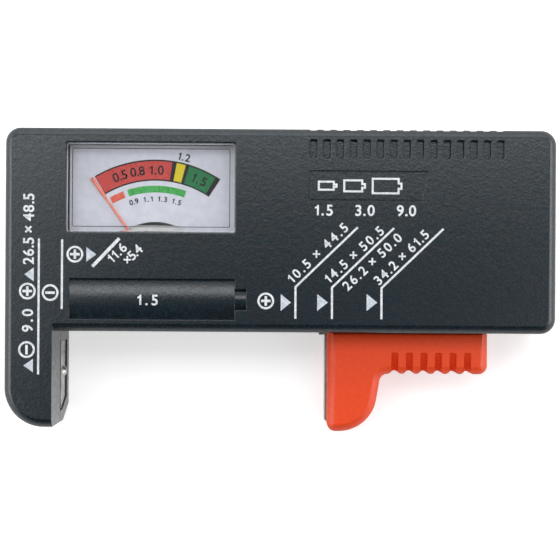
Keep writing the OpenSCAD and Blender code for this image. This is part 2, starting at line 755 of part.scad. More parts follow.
module nine_volt_positive_wire() color([0.8, 0.12, 0.1]) wire([
    [x_left + 3, y_top - nine_from_top + nine_half - fit, 7.3],
    [x_left + 3, y_top - nine_from_top + nine_half + 1, 7.3],
    [x_left + 5.4, y_top - 22.3, 6], [x_left + 12.4, y_top - 15.3, 4], [pivot_x, pivot_y + 18, wire_z],
    [pivot_x + 16, pivot_y + 17, wire_z], [board_x - 4, board_y + 12, wire_z],
    [board_x + 1.5, board_y + 12.3, 4.2], [board_x + 3, board_y + 12.3, board_z - 0.8],
    [board_x + 3, board_y + 12.3, board_z]]);

module nine_volt_negative_wire() color([0.1, 0.1, 0.12]) wire([
    [x_left + 3, y_top - nine_from_top - nine_pitch + nine_half - fit, 8],
    [x_left + 3, y_top - nine_from_top - nine_pitch + nine_half + 0.9, 8],
    [x_left + 4.9, y_floor + 1, 10], [x_left + 4.9, y_floor + 4, 10.3],
    [x_left + 5, y_floor + 7, 9], [leg_tab_x - sheet - 1.4, y_floor + 7, 7.4],
    [leg_tab_x - sheet, y_floor + 7, 7.4]]);

module meter_positive_wire() color([0.8, 0.12, 0.1]) wire([
    [terminal_at[1][0] + sheet, terminal_at[1][1] + 1.2, base_z - 2],
    [terminal_at[1][0] + sheet + 1.2, terminal_at[1][1] + 1.2, base_z - 2],
    [terminal_at[1][0] + 6, pivot_y + 20, 7], [board_x + 3, board_y + 17.5, 8],
    [board_x + 27, board_y + 16.6, 9.5], [board_x + 28.2, board_y + 10.6, 8.6],
    [board_x + 28.2, board_y + 10.6, board_top]]);

module meter_negative_wire() color([0.1, 0.1, 0.12]) wire([
    [terminal_at[0][0] + sheet, terminal_at[0][1] + 1.2, base_z - 2],
    [terminal_at[0][0] + sheet + 1.2, terminal_at[0][1] + 1.2, base_z - 2],
    [terminal_at[0][0] + 7, pivot_y + 12, 8.6], [board_x - 5, board_y + 5, 9.5],
    [board_x + 3, board_y + 3.4, 10], [board_x + 6, board_y + 2.4, board_top + 1.2],
    [board_x + 6, board_y + 2.4, board_top]]);

// ---------- slider ----------

function sx(x) = x_slider + x;

// Where the arm's right side leans from, at the big lower corner, and where it meets the bar.
// The inside corner bites a hair into the side, so that their faces cross instead of only touching.
inner_bite = 0.02;
inner_past = 5;
arm_out = [cos(arm_lean), -sin(arm_lean)];
big_centre = [sx(arm_w - arm_round_r), y_arm + arm_round_r];
lean_from = big_centre + arm_round_r * arm_out;
small_y = y_bar - inner_r;
small_x = (inner_r + lean_from * arm_out - small_y * arm_out[1]) / arm_out[0];
lean_to = [small_x, small_y] - inner_r * arm_out;
small_centre = [small_x - inner_bite, small_y];

// Front outline of the slider: a grip bar with an arm at its left end
module slider_outline() {
    corner_rect([sx(0), y_bar], [sx(slider_l), y_slider_top], [0, bar_r, 0, 0]);
    corner_rect([sx(0), y_arm], [big_centre[0] + 0.5, y_bar + 1], [arm_corner_r, 0, 0, 0]);
    intersection() {
        translate(big_centre) circle(arm_round_r);
        translate([big_centre[0], y_arm - 1]) square([arm_round_r + 1, arm_round_r + 1]);
    }
    difference() {
        polygon([big_centre, lean_from, lean_to, small_centre, small_centre + [0, inner_r + 0.5],
            [big_centre[0], y_bar + 0.5]]);
        translate(small_centre) circle(inner_r);
    }
}

// Rounds the slider's outer edges, for a face at height 0
module slider_cuts(r) {
    edge_cut([sx(0), y_slider_top + 1], [sx(0), y_arm + arm_corner_r], r);
    corner_cut([sx(arm_corner_r), y_arm + arm_corner_r], arm_corner_r, r, 180);
    edge_cut([sx(arm_corner_r), y_arm], [big_centre[0], y_arm], r);
    corner_cut(big_centre, arm_round_r, r, -90, 90 - arm_lean);
    edge_cut(lean_from, lean_to, r);
    translate([small_centre[0], small_centre[1], -r]) rotate(90)
        rotate_extrude(angle = 90 + inner_past - arm_lean)
            translate([inner_r + r, 0]) mirror([1, 0]) rounding(r);
    edge_cut([small_centre[0], y_bar], [sx(slider_l - bar_r), y_bar], r);
    corner_cut([sx(slider_l - bar_r), y_bar + bar_r], bar_r, r, -90);
    edge_cut([sx(slider_l), y_bar + bar_r], [sx(slider_l), y_slider_top + 1], r);
    edge_cut([sx(slider_l) + 1, y_slider_top], [sx(0) - 1, y_slider_top], slider_top_round);
}

// A grip groove has a round bottom and upright sides
module groove_section() {
    circle(groove_r);
    translate([-groove_r, 0]) square([2 * groove_r, 4]);
}

module slider() color(slider_orange) {
    top = slider_z + slider_t;
    difference() {
        translate([0, 0, slider_z]) linear_extrude(slider_t) slider_outline();
        translate([0, 0, top]) slider_cuts(slider_round);
        for (i = [0 : grooves - 1]) translate([sx(groove_first + i * groove_pitch), y_bar, 0]) {
            translate([0, 0, slider_z - 1]) cylinder(r = groove_r, h = slider_t + 2);
            intersection() {
                translate([0, groove_top, top + 0.1]) rotate([90 + groove_slope, 0, 0])
                    translate([0, 0, -1]) linear_extrude(9) groove_section();
                block([-1, -9, 0], [1, groove_top, top + 5]);
            }
        }
    }
    block([sx(0), y_slider_top - 1, slot_z[0] + neck_gap], [sx(neck_l), y_flange + 1, slot_z[1] - neck_gap]);
    block([sx(0), y_flange, flange_z[0]], [sx(neck_l), y_flange + flange_t, flange_z[1]]);
}

// Strip down the slider's left side and up through the slot, folded over the flange
module slider_contact() color(nickel) {
    mid = (slot_z[0] + slot_z[1]) / 2;
    narrow = 1.3;
    y_fold = y_flange + flange_t;
    block([sx(-sheet), y_arm + arm_corner_r + 0.2, mid - 3], [sx(0), y_body - slider_gap, mid + 4.6]);
    block([sx(-sheet), y_body - slider_gap - 1, mid - narrow], [sx(0), y_fold + sheet, mid + narrow]);
    block([sx(-sheet), y_fold, mid - narrow], [sx(4), y_fold + sheet, mid + narrow]);
    block([sx(-1.6), y_body - 0.95, mid - narrow], [sx(-sheet + 0.1), y_body - 0.55, mid + narrow]);
}

// Bowed spring strip that rubs along the rails
module slider_wiper() color([0.8, 0.6, 0.35]) {
    mid = (slot_z[0] + slot_z[1]) / 2;
    y0 = y_flange + flange_t + sheet;
    rise = rail_y - 0.05 - y0;
    t = 0.25;
    translate([0, 0, mid - 1.2]) linear_extrude(2.4)
        polygon([[sx(0.4), y0], [sx(4), y0], [sx(9.5), y0 + rise - t], [sx(11), y0 + rise - t],
            [sx(15), y0 + 0.2], [sx(15), y0 + 0.2 + t], [sx(11), y0 + rise], [sx(9.5), y0 + rise],
            [sx(4), y0 + t], [sx(0.4), y0 + t]]);
}

module wiper_rivets() color(steel) for (x = [1.4, 3.2])
    translate([sx(x), y_flange + flange_t + sheet + 0.25, (slot_z[0] + slot_z[1]) / 2])
        rotate([-90, 0, 0]) cylinder(r = 0.6, h = 0.3);

front_shell();
back_shell();
case_screws();
meter_cover();
meter_base();
scale_plate();
core_magnet();
yoke_ring();
core_spacers();
bridge();
bridge_pillars();
bridge_screws();
upper_jewel_screw();
lower_jewel_screw();
zero_adjuster();
meter_terminals();
lower_spring_post();
pointer_stops();
upper_hairspring();
lower_hairspring();
leg_contact();
nine_volt_positive();
nine_volt_negative();
cell_rail();
button_rail();
circuit_board();
board_screws();
cell_load_resistor();
cell_series_resistor();
nine_volt_load_resistor();
nine_volt_series_resistor();
leg_wire();
cell_rail_wire();
button_rail_wire();
nine_volt_positive_wire();
nine_volt_negative_wire();
meter_positive_wire();
meter_negative_wire();
coil_winding();
coil_former();
coil_pivots();
pointer();
pointer_hub();
counterweights();
slider();
slider_contact();
slider_wiper();
wiper_rivets();
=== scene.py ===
"""Looks of the battery tester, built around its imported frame.

Shapes are worked out in millimetres, in the frame's own directions: +X right, +Y to the top edge,
+Z out of the front. make_piece() turns them into metres. Paths run counterclockwise seen from the front.
"""
import math

import bmesh
import bpy
import numpy as np
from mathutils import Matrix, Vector, geometry


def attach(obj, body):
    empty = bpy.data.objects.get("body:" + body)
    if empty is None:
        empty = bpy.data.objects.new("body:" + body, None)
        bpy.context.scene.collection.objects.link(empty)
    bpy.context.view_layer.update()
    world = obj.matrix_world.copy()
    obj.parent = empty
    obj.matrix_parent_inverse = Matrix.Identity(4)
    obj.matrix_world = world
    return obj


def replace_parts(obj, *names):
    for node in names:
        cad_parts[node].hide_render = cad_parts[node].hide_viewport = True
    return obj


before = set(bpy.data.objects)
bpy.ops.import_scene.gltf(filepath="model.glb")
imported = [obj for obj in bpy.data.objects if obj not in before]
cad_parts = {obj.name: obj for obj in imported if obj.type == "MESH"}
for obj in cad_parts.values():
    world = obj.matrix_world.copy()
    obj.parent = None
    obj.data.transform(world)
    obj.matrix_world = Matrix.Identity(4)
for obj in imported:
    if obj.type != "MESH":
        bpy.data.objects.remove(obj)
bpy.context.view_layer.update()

MM = 0.001
NEAR = 0.01  # how near a point counts as being on a line
BAND, FACE_BAND, EDGE_BREAK = 0.05, 0.03, 0.1  # flat bands next to rounded edges, and broken edges

# Case
X_LEFT, X_RIGHT, Y_TOP, Y_BODY, Y_LEG, X_LEG = -55.4, 55.4, 30.8, -10.1, -29.45, -45.7
DEPTH, JOINT, WALL, FACE_IN, FLOOR_IN = 25.0, 12.8, 1.8, 23.0, 2.0
CORNER, CORNER_STEPS, LEG_CORNER, LEG_STEPS = 3.0, 10, 7.9, 20
FRONT_ROUND, FRONT_SLANT, BACK_ROUND, EDGE_STEPS, JOINT_CHAMFER, FIT = 1.6, 0.7, 2.4, 8, 0.22, 0.1
BEVEL_RISE, BEVEL_HEIGHT = 3.0, 8.0
SLIDER_SLOT_X, SLIDER_SLOT_Z = (-44.6, 47.6), (4.6, 8.4)
LEG_SLOT_Y, LEG_SLOT_Z = (-27.1, -24.7, -12.6), (9.3, 2.8)
NINE_VOLT_Y, NINE_VOLT_HALF, NINE_VOLT_Z = (-1.3, -14.0), 3.2, (3.6, 11.0)
SCREWS = ((-49.8, 24.8), (49.8, 24.8), (49.8, 1.0), (-2.5, 4.0))
SCREW_WELL, SCREW_WELL_DEPTH, SCREW_WELL_RIM = 2.2, 1.9, 0.25

# Flutes along the top edge
FLUTE_X, FLUTE_WIDTH, FLUTE_DEPTH, FLUTE_RIM = 6.5 + 2.68 * np.arange(15), 1.4, 1.0, 0.25
FLUTE_LOW, FLUTE_HIGH, FLUTE_CORNER = 24.9, 28.5, 0.3
NOTCH_LOW, NOTCH_HIGH = 15.2, DEPTH - FRONT_ROUND + NEAR

# Place of the name plate
PLATE_LO, PLATE_SIZE, PLATE_SLANT, PLATE_LINE, PLATE_LINE_DEPTH = (5.6, 16.4), (24.0, 6.0), 1.3, 0.25, 0.2

# Window and meter
WINDOW_LO, WINDOW_HI, WINDOW_FIT, WINDOW_CORNER, WINDOW_RIM = (-43.0, 9.9), (-9.2, 27.75), 0.1, 0.35, 0.2
METER_LO, METER_HI = (-44.2, -7.6), (-7.6, 28.8)
COVER_BOTTOM, COVER_TOP, WINDOW_TOP, COVER_WALL = 11.4, 22.8, 24.6, 1.0
# Wall's thickness, corner radii of box and window, heights of box and window, radius of the edge
COVER_OUTSIDE = (0, 1.2, 0.5, COVER_TOP, WINDOW_TOP, 0.3)
COVER_INSIDE = (COVER_WALL, 0.4, 0.4, COVER_TOP - 0.8, WINDOW_TOP - COVER_WALL, 0.2)
PIVOT = (-25.5, 0.8)
CARD_TOP = 19.6
REST_ANGLE, POINTER_LENGTH, POINTER_Z = 32.0, 24.0, 20.2
POINTER_BASE, POINTER_CROWN, POINTER_CROWN_MOST, HUB_R, HUB_DEPTH = 0.04, 0.55, 0.17, (1.4, 0.42), 0.19
POINTER_BEND = (10.2, 11.0, 24.0), (0, 0.42, -0.29)
POINTER_HALF = ((-6.0, 0.2), (-5.9, 0.3), (0, 0.3), (10.2, 0.26), (11.0, 0.25), (17.6, 0.22), (19.3, 0.22),
                (19.7, 0.36), (23.7, 0.36), (23.9, 0.3), (POINTER_LENGTH, 0.16))

# Relief of a cell
RELIEF_LO, RELIEF_SIZE, RELIEF_DEPTH, RELIEF_RIM, NUB_SIZE = (-42.3, -7.7), (33.2, 8.2), 0.8, 0.12, (2.3, 4.2)

# Slider
S_LEFT, S_RIGHT, S_TOP, S_BAR, S_ARM = 9.85, 42.95, -10.4, -18.85, -30.8
S_BACK, S_FRONT, S_TOP_ROUND, S_BACK_CHAMFER = 3.0, 16.0, 0.9, 0.25
ARM_CORNER, BIG_CENTRE, BIG_R, LEAN = 1.7, (12.25, -22.9), 7.9, 9.8
SMALL_CENTRE, SMALL_R, BAR_CORNER = (22.46, -20.65), 1.8, 1.8
GROOVES, GROOVE_FIRST, GROOVE_PITCH, GROOVE_R = 6, 23.75, 3.0, 0.7
GROOVE_TOP, GROOVE_LIFT, GROOVE_SLOPE, LOBE_REACH, LOBE_POWER = 4.45, 0.1, math.radians(20), 1.25, 1.3
GROOVE_COLUMNS = np.concatenate([[1.7, 1.5, 1.3, 1.15, 1.04], np.sin(np.radians([90, 72, 52, 30, 10]))])
NECK = (S_LEFT, S_TOP - 1, 5.0), (S_LEFT + 25, Y_BODY + WALL + 0.5, 8.0)
FLANGE = (S_LEFT, Y_BODY + WALL + 0.15, 3.1), (S_LEFT + 25, Y_BODY + WALL + 2.1, 9.9)
SLAB_EDGE = 0.2

# Printed marks on the case front
PRINT, LINE_WIDTH, FONT_HEIGHT, SPACE = (DEPTH - 0.05, DEPTH + 0.02), 0.42, 0.69, 0.2
SIGN_R, SIGN_ARM, SIGN_BAR = 1.68, 1.92, 0.5
GUIDE_LINES = [[(3.08, -7.3), (3.06, -0.94), (15.48, 11.1)], [(10.4, -7.3), (10.38, -1.0), (22.75, 11.0)],
               [(20.32, -7.3), (20.3, -1.04), (32.65, 10.9)]]
SIDE_LINES = [[(-48.4, -18.8), (-48.4, 8.45)], [(-43.75, -5.65), (-43.75, 8.3)]]
SLASH, SLASH_WIDTH = [(-37.68, 2.88), (-32.3, 8.58)], 0.66
SIGNS = (((-2.87, -3.77), False, False), ((-41.18, 5.34), False, False), ((-50.66, -2.11), False, False),
         ((-46.09, -2.39), True, False), ((-50.75, -13.84), True, True))
ARROWS = (((2.16, -4.06), 0.12, 1.7), ((9.56, -4.01), 7.43, 1.7), ((19.48, -3.95), 17.33, 1.7),
          ((-36.89, 5.32), -38.88, 1.47), ((-51.28, 1.25), -49.38, 1.4), ((-51.37, -17.03), -49.44, 1.35))
CASE_NUMBERS = (
    ("10.5 × 44.5", (7.45, 5.88), 44.5, 1.85, 15.8), ("14.5 × 50.5", (14.74, 5.59), 43.3, 1.85, 15.2),
    ("26.2 × 50.0", (18.41, 4.22), 43.8, 1.85, 15.2), ("34.2 × 61.5", (24.25, 5.14), 44.8, 1.85, 14.2),
    ("11.6", (-32.77, 5.65), 45.0, 1.85, 4.3), ("×5.4", (-29.6, 5.35), 45.0, 1.85, 4.3),
    ("9.0", (-50.6, -8.0), 90, 2.1, 4.6), ("26.5 × 48.5", (-50.5, 10.35), 90, 2.1, 14.2),
    ("1.5", (8.6, 14.5), 0, 2.1, 3.7), ("3.0", (16.9, 14.5), 0, 2.1, 3.9), ("9.0", (25.2, 14.5), 0, 2.1, 3.9))
RELIEF_NUMBER, RELIEF_NUMBER_AT = ("1.5", 2.04, 4.2), (-26.6, -3.72)
RELIEF_NUMBER_CUTS, RELIEF_PRINT = np.linspace(-0.9, 0.9, 9), (-0.06, 0.02)
CELL_PICTURES, PICTURE_Y, PICTURE_LINE = ((7.4, 3.4, 2.0), (12.5, 4.0, 2.6), (18.2, 5.6, 3.3)), 19.4, 0.4
PICTURE_NUB, PICTURE_NUB_RISE = 0.55, 0.22

# Printed scale of the dial, in degrees clockwise from straight up
SCALE_R, SCALE_ANGLES = (19.7, 24.0), (-31.2, 33.3)
DIAL_LOW, DIAL_HIGH, DIAL_OVER, DIAL_TOP = (CARD_TOP + rise for rise in (-0.05, 0.02, 0.035, 0.045))
STEPS_PER_DEGREE = 1.2
DIAL_BANDS = (
    ("red", (20.0, 23.7), (-31.0, 8.2), DIAL_OVER), ("yellow", (20.0, 23.7), (10.4, 15.0), DIAL_OVER),
    ("green", (20.0, 23.7), (16.8, 30.9), DIAL_OVER), ("small_red", (17.3, 18.7), (-30.0, -20.7), DIAL_HIGH),
    ("small_green", (17.3, 18.7), (-18.1, 19.6), DIAL_HIGH))
DIAL_NUMBERS = (
    ("0.5", -19.5, 21.85, 1.8, 3.0), ("0.8", -9.8, 21.85, 1.8, 3.0), ("1.0", 0.4, 21.85, 1.8, 3.0),
    ("1.2", 13.2, 25.2, 1.5, 2.6), ("1.5", 23.9, 21.85, 1.8, 3.2),
    ("0.9", -16.0, 16.0, 1.05, 1.9), ("1.1", -5.5, 16.0, 1.05, 1.9), ("1.3", 5.0, 16.0, 1.05, 1.9),
    ("1.5", 15.5, 16.0, 1.05, 1.9))

# Studio, in metres, watts and radians; lens and sensor in millimetres
CAMERA_AT, CAMERA_ROLL, LENS, SENSOR = (-0.00005, 0.00044, 0.331), math.radians(0.38), 98.18, 36.0
WORLD_LOW, WORLD_BACK, BACK_POWER, WORLD_SIDES, SIDES_POWER = 0.05, 2.4, 3.0, 4.4, 6.0
FLOOR_HALF, FLOOR_GLOW, MIRRORED_GLOW = 1.5, 0.5, 0.6
LAMP_AIM = (0, 0, 0.01)
LAMPS = (("top", (0, 0.165, 0.5), (0.5, 0.16), 1.1), ("left", (-0.22, 0.02, 0.42), (0.2, 0.22), 0.24),
         ("right", (0.26, -0.12, 0.42), (0.2, 0.3), 0.34))


# ---------- shapes ----------

def straight(a, b, stops=()):
    """Points along the line from a towards b: a itself, then those at the given distances from a."""
    a, b = np.array(a, float), np.array(b, float)
    along = np.concatenate([[0.0], np.sort(np.array(stops, float))])
    return a + (b - a) * (along / np.hypot(*(b - a)))[:, None]


def arc(centre, r, start, sweep, steps):
    """Points at equal angles round a centre, from a start angle, without the last one."""
    angle = np.radians(start + sweep * np.arange(steps) / steps)
    return np.array(centre) + r * np.stack([np.cos(angle), np.sin(angle)], 1)


def rounded_box(lo, hi, r, steps=5):
    """A rectangle whose corners are quarter circles."""
    corners = ((hi[0], lo[1], 1, -1), (hi[0], hi[1], 1, 1), (lo[0], hi[1], -1, 1), (lo[0], lo[1], -1, -1))
    sweep = 90 * (steps + 1) / steps
    return np.concatenate([arc((x - r * out, y - r * up), r, 90 * k - 90, sweep, steps + 1)
                           for k, (x, y, out, up) in enumerate(corners)])


def outward(path):
    """At each point of a closed path, the move that shifts both edges that meet there outwards by 1."""
    edge = np.roll(path, -1, 0) - path
    normal = np.stack([edge[:, 1], -edge[:, 0]], 1) / np.hypot(*edge.T)[:, None]
    both = normal + np.roll(normal, 1, 0)
    return both * (2 / (both * both).sum(1))[:, None]


def at_height(path, z):
    """A flat path lifted to a height, which may change from point to point."""
    return np.column_stack([path, np.broadcast_to(z, len(path))])


def grid(points, wrap=True, present=None, flip=False):
    """Four-sided faces between neighbouring points of a grid. They face away from the inside of a
    counterclockwise path whose rows go up, or the other way with flip."""
    rows, columns = points.shape[:2]
    i, j = np.meshgrid(np.arange(rows - 1), np.arange(columns if wrap else columns - 1), indexing="ij")
    here, right = i * columns + j, i * columns + (j + 1) % columns
    quads = np.stack([here, right, right + columns, here + columns], -1)
    quads = quads[present] if present is not None else quads.reshape(-1, 4)
    return points.reshape(-1, 3), quads[:, ::-1] if flip else quads


def walled(outer, inner, present):
    """An outer and an inner grid with faces only where present, and a strip of wall between them along
    every edge where the faces stop, but not along the last row."""
    rows, columns = outer.shape[:2]
    size = rows * columns
    points = np.concatenate([outer.reshape(-1, 3), inner.reshape(-1, 3)])
    out, into = grid(outer, present=present)[1], grid(inner, present=present, flip=True)[1] + size
    left = present.astype(int) - np.roll(present, 1, 1)
    i, j = np.nonzero(left)
    low, high = i * columns + j, (i + 1) * columns + j
    sides = np.stack([low, high, high + size, low + size], 1)
    sides[left[i, j] < 0] = sides[left[i, j] < 0][:, ::-1]
    below = present.astype(int) - np.concatenate([np.zeros((1, columns), int), present[:-1]])
    i, j = np.nonzero(below)
    here, right = i * columns + j, i * columns + (j + 1) % columns
    ends = np.stack([here, here + size, right + size, right], 1)
    ends[below[i, j] < 0] = ends[below[i, j] < 0][:, ::-1]
    return points, np.concatenate([out, into, sides, ends])


def flat_face(loops, z, flip=False):
    """Triangles that fill the region inside an odd number of closed paths, at a height."""
    loops = [np.asarray(loop)[:, :2] for loop in loops]
    starts = np.cumsum([0] + [len(loop) for loop in loops])
    points = np.concatenate(loops)
    nexts = np.concatenate([np.roll(np.arange(a, b), -1) for a, b in zip(starts[:-1], starts[1:])])
    edges = np.stack([np.arange(len(points)), nexts], 1)
    found, _, faces, *_ = geometry.delaunay_2d_cdt([Vector(p) for p in points], edges.tolist(), [], 0, 1e-6)
    found, faces = np.array([tuple(v) for v in found]), np.array(faces)
    middle = found[faces].mean(1)
    a, b = points[edges[:, 0]], points[edges[:, 1]]
    crosses = (a[:, 1] > middle[:, 1:]) != (b[:, 1] > middle[:, 1:])
    rise = np.where(a[:, 1] == b[:, 1], 1.0, b[:, 1] - a[:, 1])
    at = a[:, 0] + (middle[:, 1:] - a[:, 1]) * (b[:, 0] - a[:, 0]) / rise
    faces = faces[(crosses & (middle[:, :1] < at)).sum(1) % 2 == 1]
    return at_height(found, z), faces[:, ::-1] if flip else faces


def loft(rings, wrap=True, flip=False):
    """Faces between rings of equally many points, one after another."""
    return grid(np.stack(rings), wrap, flip=flip)


def closed(rings):
    """A solid between flat rings, the first the lowest."""
    low, high = rings[0], rings[-1]
    return [loft(rings), flat_face([high], high[0, 2]), flat_face([low], low[0, 2], True)]


def stack(*levels):
    """Rings from paths and their heights."""
    return [at_height(path, z) for path, z in levels]


def plate(path, low, high):
    """A thin flat piece of any outline."""
    return closed(stack((path, low), (path, high)))


def frame_plate(outer, inner, low, high):
    """A thin flat piece with a hole of any outline."""
    return [loft(stack((outer, low), (outer, high), (inner, high), (inner, low), (outer, low)))]


def turned(points, degrees, at):
    """Points turned counterclockwise about the origin and moved to a place, as flat points."""
    angle, x, y = math.radians(degrees), points[..., 0], points[..., 1]
    return np.stack([at[0] + x * math.cos(angle) - y * math.sin(angle),
                     at[1] + x * math.sin(angle) + y * math.cos(angle)], -1)


def joined(parts):
    """Several meshes as one: all their points, and their faces with the points' new numbers."""
    starts = np.cumsum([0] + [len(points) for points, _ in parts])
    moved = [(np.asarray(faces) + start).tolist() for (_, faces), start in zip(parts, starts)]
    return np.concatenate([points for points, _ in parts]), sum(moved, [])


def placed(name, contents):
    """A new object in the scene."""
    thing = bpy.data.objects.new(name, contents)
    bpy.context.scene.collection.objects.link(thing)
    return thing


def rounding(r, edge, steps, up=1, flat=0.0):
    """How far in and how high a quarter-round edge is, from the wall to the face, as two arrays. The
    edge turns into a plain slant as flat goes from 0 to 1."""
    angle = np.radians(np.linspace(0, 90, steps + 1))
    slant = np.linspace(0, 1, steps + 1)
    return (r * ((1 - flat) * (1 - np.cos(angle)) + flat * slant),
            edge + up * r * ((1 - flat) * (np.sin(angle) - 1) + flat * (slant - 1)))


def profile(wall_in, wall_z, r, face, steps=EDGE_STEPS, band=FACE_BAND, **edge):
    """Insets and heights of rings up a wall, round its edge to a face, and a narrow band along the face."""
    round_in, round_z = rounding(r, face, steps, **edge)
    return np.concatenate([wall_in, round_in, [r + band]]), np.concatenate([wall_z, round_z, [face]])


def make_piece(name, parts, body, material, sharp=40, bevel=0.0):
    """One mesh from points and faces in millimetres, with coinciding points merged, smooth but for edges
    sharper than an angle, and with its sharp edges bevelled if asked."""
    mesh = bpy.data.meshes.new(name)
    points, faces = joined(parts)
    mesh.from_pydata(points * MM, [], faces)
    work = bmesh.new()
    work.from_mesh(mesh)
    bmesh.ops.remove_doubles(work, verts=work.verts, dist=2e-6)
    bmesh.ops.dissolve_degenerate(work, edges=work.edges, dist=1e-7)
    bmesh.ops.recalc_face_normals(work, faces=work.faces)
    work.to_mesh(mesh)
    work.free()
    mesh.shade_smooth()
    mesh.set_sharp_from_angle(angle=math.radians(sharp))
    piece = placed(name, mesh)
    mesh.materials.append(material)
    if bevel:
        edge = piece.modifiers.new("edges", "BEVEL")
        edge.width, edge.segments, edge.limit_method = bevel * MM, 2, "ANGLE"
        edge.angle_limit, edge.harden_normals, edge.use_clamp_overlap = math.radians(50), True, False
    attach(piece, body)
    return piece


# ---------- case ----------

def on(values, level):
    """True for each value that lies on a level."""
    return np.abs(values - level) < NEAR


def case_path(fit):
    """Outline of the case from the leg's inner corner, with points where slots and windows start and
    stop. The slider's slot is narrower by a fit at each end."""
    notches = np.add.outer(FLUTE_X, np.array([-1, -0.98, 0.98, 1]) * FLUTE_WIDTH / 2).ravel()
    nine_volt = np.add.outer(NINE_VOLT_Y, [-NINE_VOLT_HALF, NINE_VOLT_HALF]).ravel()
    slot = np.array(SLIDER_SLOT_X) + [fit, -fit]
    c, g = CORNER, LEG_CORNER
    return np.concatenate([
        straight((X_LEG, Y_BODY), (X_RIGHT - c, Y_BODY), slot - X_LEG),
        arc((X_RIGHT - c, Y_BODY + c), c, -90, 90, CORNER_STEPS),
        straight((X_RIGHT, Y_BODY + c), (X_RIGHT, Y_TOP - c)),
        arc((X_RIGHT - c, Y_TOP - c), c, 0, 90, CORNER_STEPS),
        straight((X_RIGHT - c, Y_TOP), (X_LEFT + c, Y_TOP), X_RIGHT - c - notches),
        arc((X_LEFT + c, Y_TOP - c), c, 90, 90, CORNER_STEPS),
        straight((X_LEFT, Y_TOP - c), (X_LEFT, Y_LEG + g), Y_TOP - c - nine_volt),
        arc((X_LEFT + g, Y_LEG + g), g, 180, 90, LEG_STEPS),
        straight((X_LEFT + g, Y_LEG), (X_LEG, Y_LEG)),
        straight((X_LEG, Y_LEG), (X_LEG, Y_BODY), np.array(LEG_SLOT_Y) - Y_LEG)])


def case_rings(path, insets, heights, side_insets, bevel_in=0.0):
    """The case's outline moved inwards and lifted, once for each height. The leg's inner side has its
    own insets, and the leg stays above the slanting cut at its lower end."""
    move, leg, side = outward(path), path[:, 1] < Y_BODY - NEAR, on(path[:, 0], X_LEG)
    insets, heights = (values.reshape(len(values), -1) + np.zeros(len(path)) for values in (insets, heights))
    x, y = (path[:, k] - move[:, k] * insets for k in (0, 1))
    level = X_LEG - side_insets[:, None]
    x = np.where(side, level, np.where(leg, np.minimum(x, level), x))
    cut = Y_LEG + bevel_in + BEVEL_RISE * (BEVEL_HEIGHT - heights) / BEVEL_HEIGHT
    y = np.where(leg & (heights < BEVEL_HEIGHT), np.maximum(y, cut), y)
    return np.stack([x, y, heights], -1)


def between(path, axis, level, low, high):
    """True for each edge of a path that lies along one of its straight sides, within a range."""
    nexts = np.roll(path, -1, 0)
    along = (path[:, 1 - axis] + nexts[:, 1 - axis]) / 2
    return on(path[:, axis], level) & on(nexts[:, axis], level) & (along > low) & (along < high)


def edge_rings(path, r, face, steps=3, up=1, out=1):
    """Rings of the quarter-round edge from a wall to a face, and one a narrow band further along the
    face. They move away from the path's inside, or into it where out is -1."""
    move = outward(path) * out
    return [at_height(path + move * i, z) for i, z in zip(*profile([], [], r, face, steps, BAND, up=up))]


def rim(path, r, low, high, up=1):
    """The wall of a hole, from its far edge to a quarter-round edge at a face. Returns the faces, the
    ring at the far edge and the ring on the face."""
    rings = [at_height(path, low)] + edge_rings(path, r, high, up=up)
    return loft(rings, flip=up > 0), rings[0], rings[-1]


def flute_path(x):
    """A flute of the front face: square upper corners, nearly, and a round lower end."""
    half, corner = FLUTE_WIDTH / 2, FLUTE_CORNER
    return np.concatenate([
        straight((x + half, FLUTE_LOW + half), (x + half, FLUTE_HIGH - corner)),
        arc((x + half - corner, FLUTE_HIGH - corner), corner, 0, 90, 4),
        straight((x + half - corner, FLUTE_HIGH), (x - half + corner, FLUTE_HIGH)),
        arc((x - half + corner, FLUTE_HIGH - corner), corner, 90, 90, 4),
        straight((x - half, FLUTE_HIGH - corner), (x - half, FLUTE_LOW + half)),
        arc((x, FLUTE_LOW + half), half, 180, 180, 12)])


def cell_side(y, half):
    """Height of the relief of a cell at a place across it: the side of a cylinder level with the face."""
    r = (half * half + RELIEF_DEPTH * RELIEF_DEPTH) / (2 * RELIEF_DEPTH)
    return DEPTH - r + np.sqrt(r * r - (y - RELIEF_LO[1] - RELIEF_SIZE[1] / 2) ** 2)


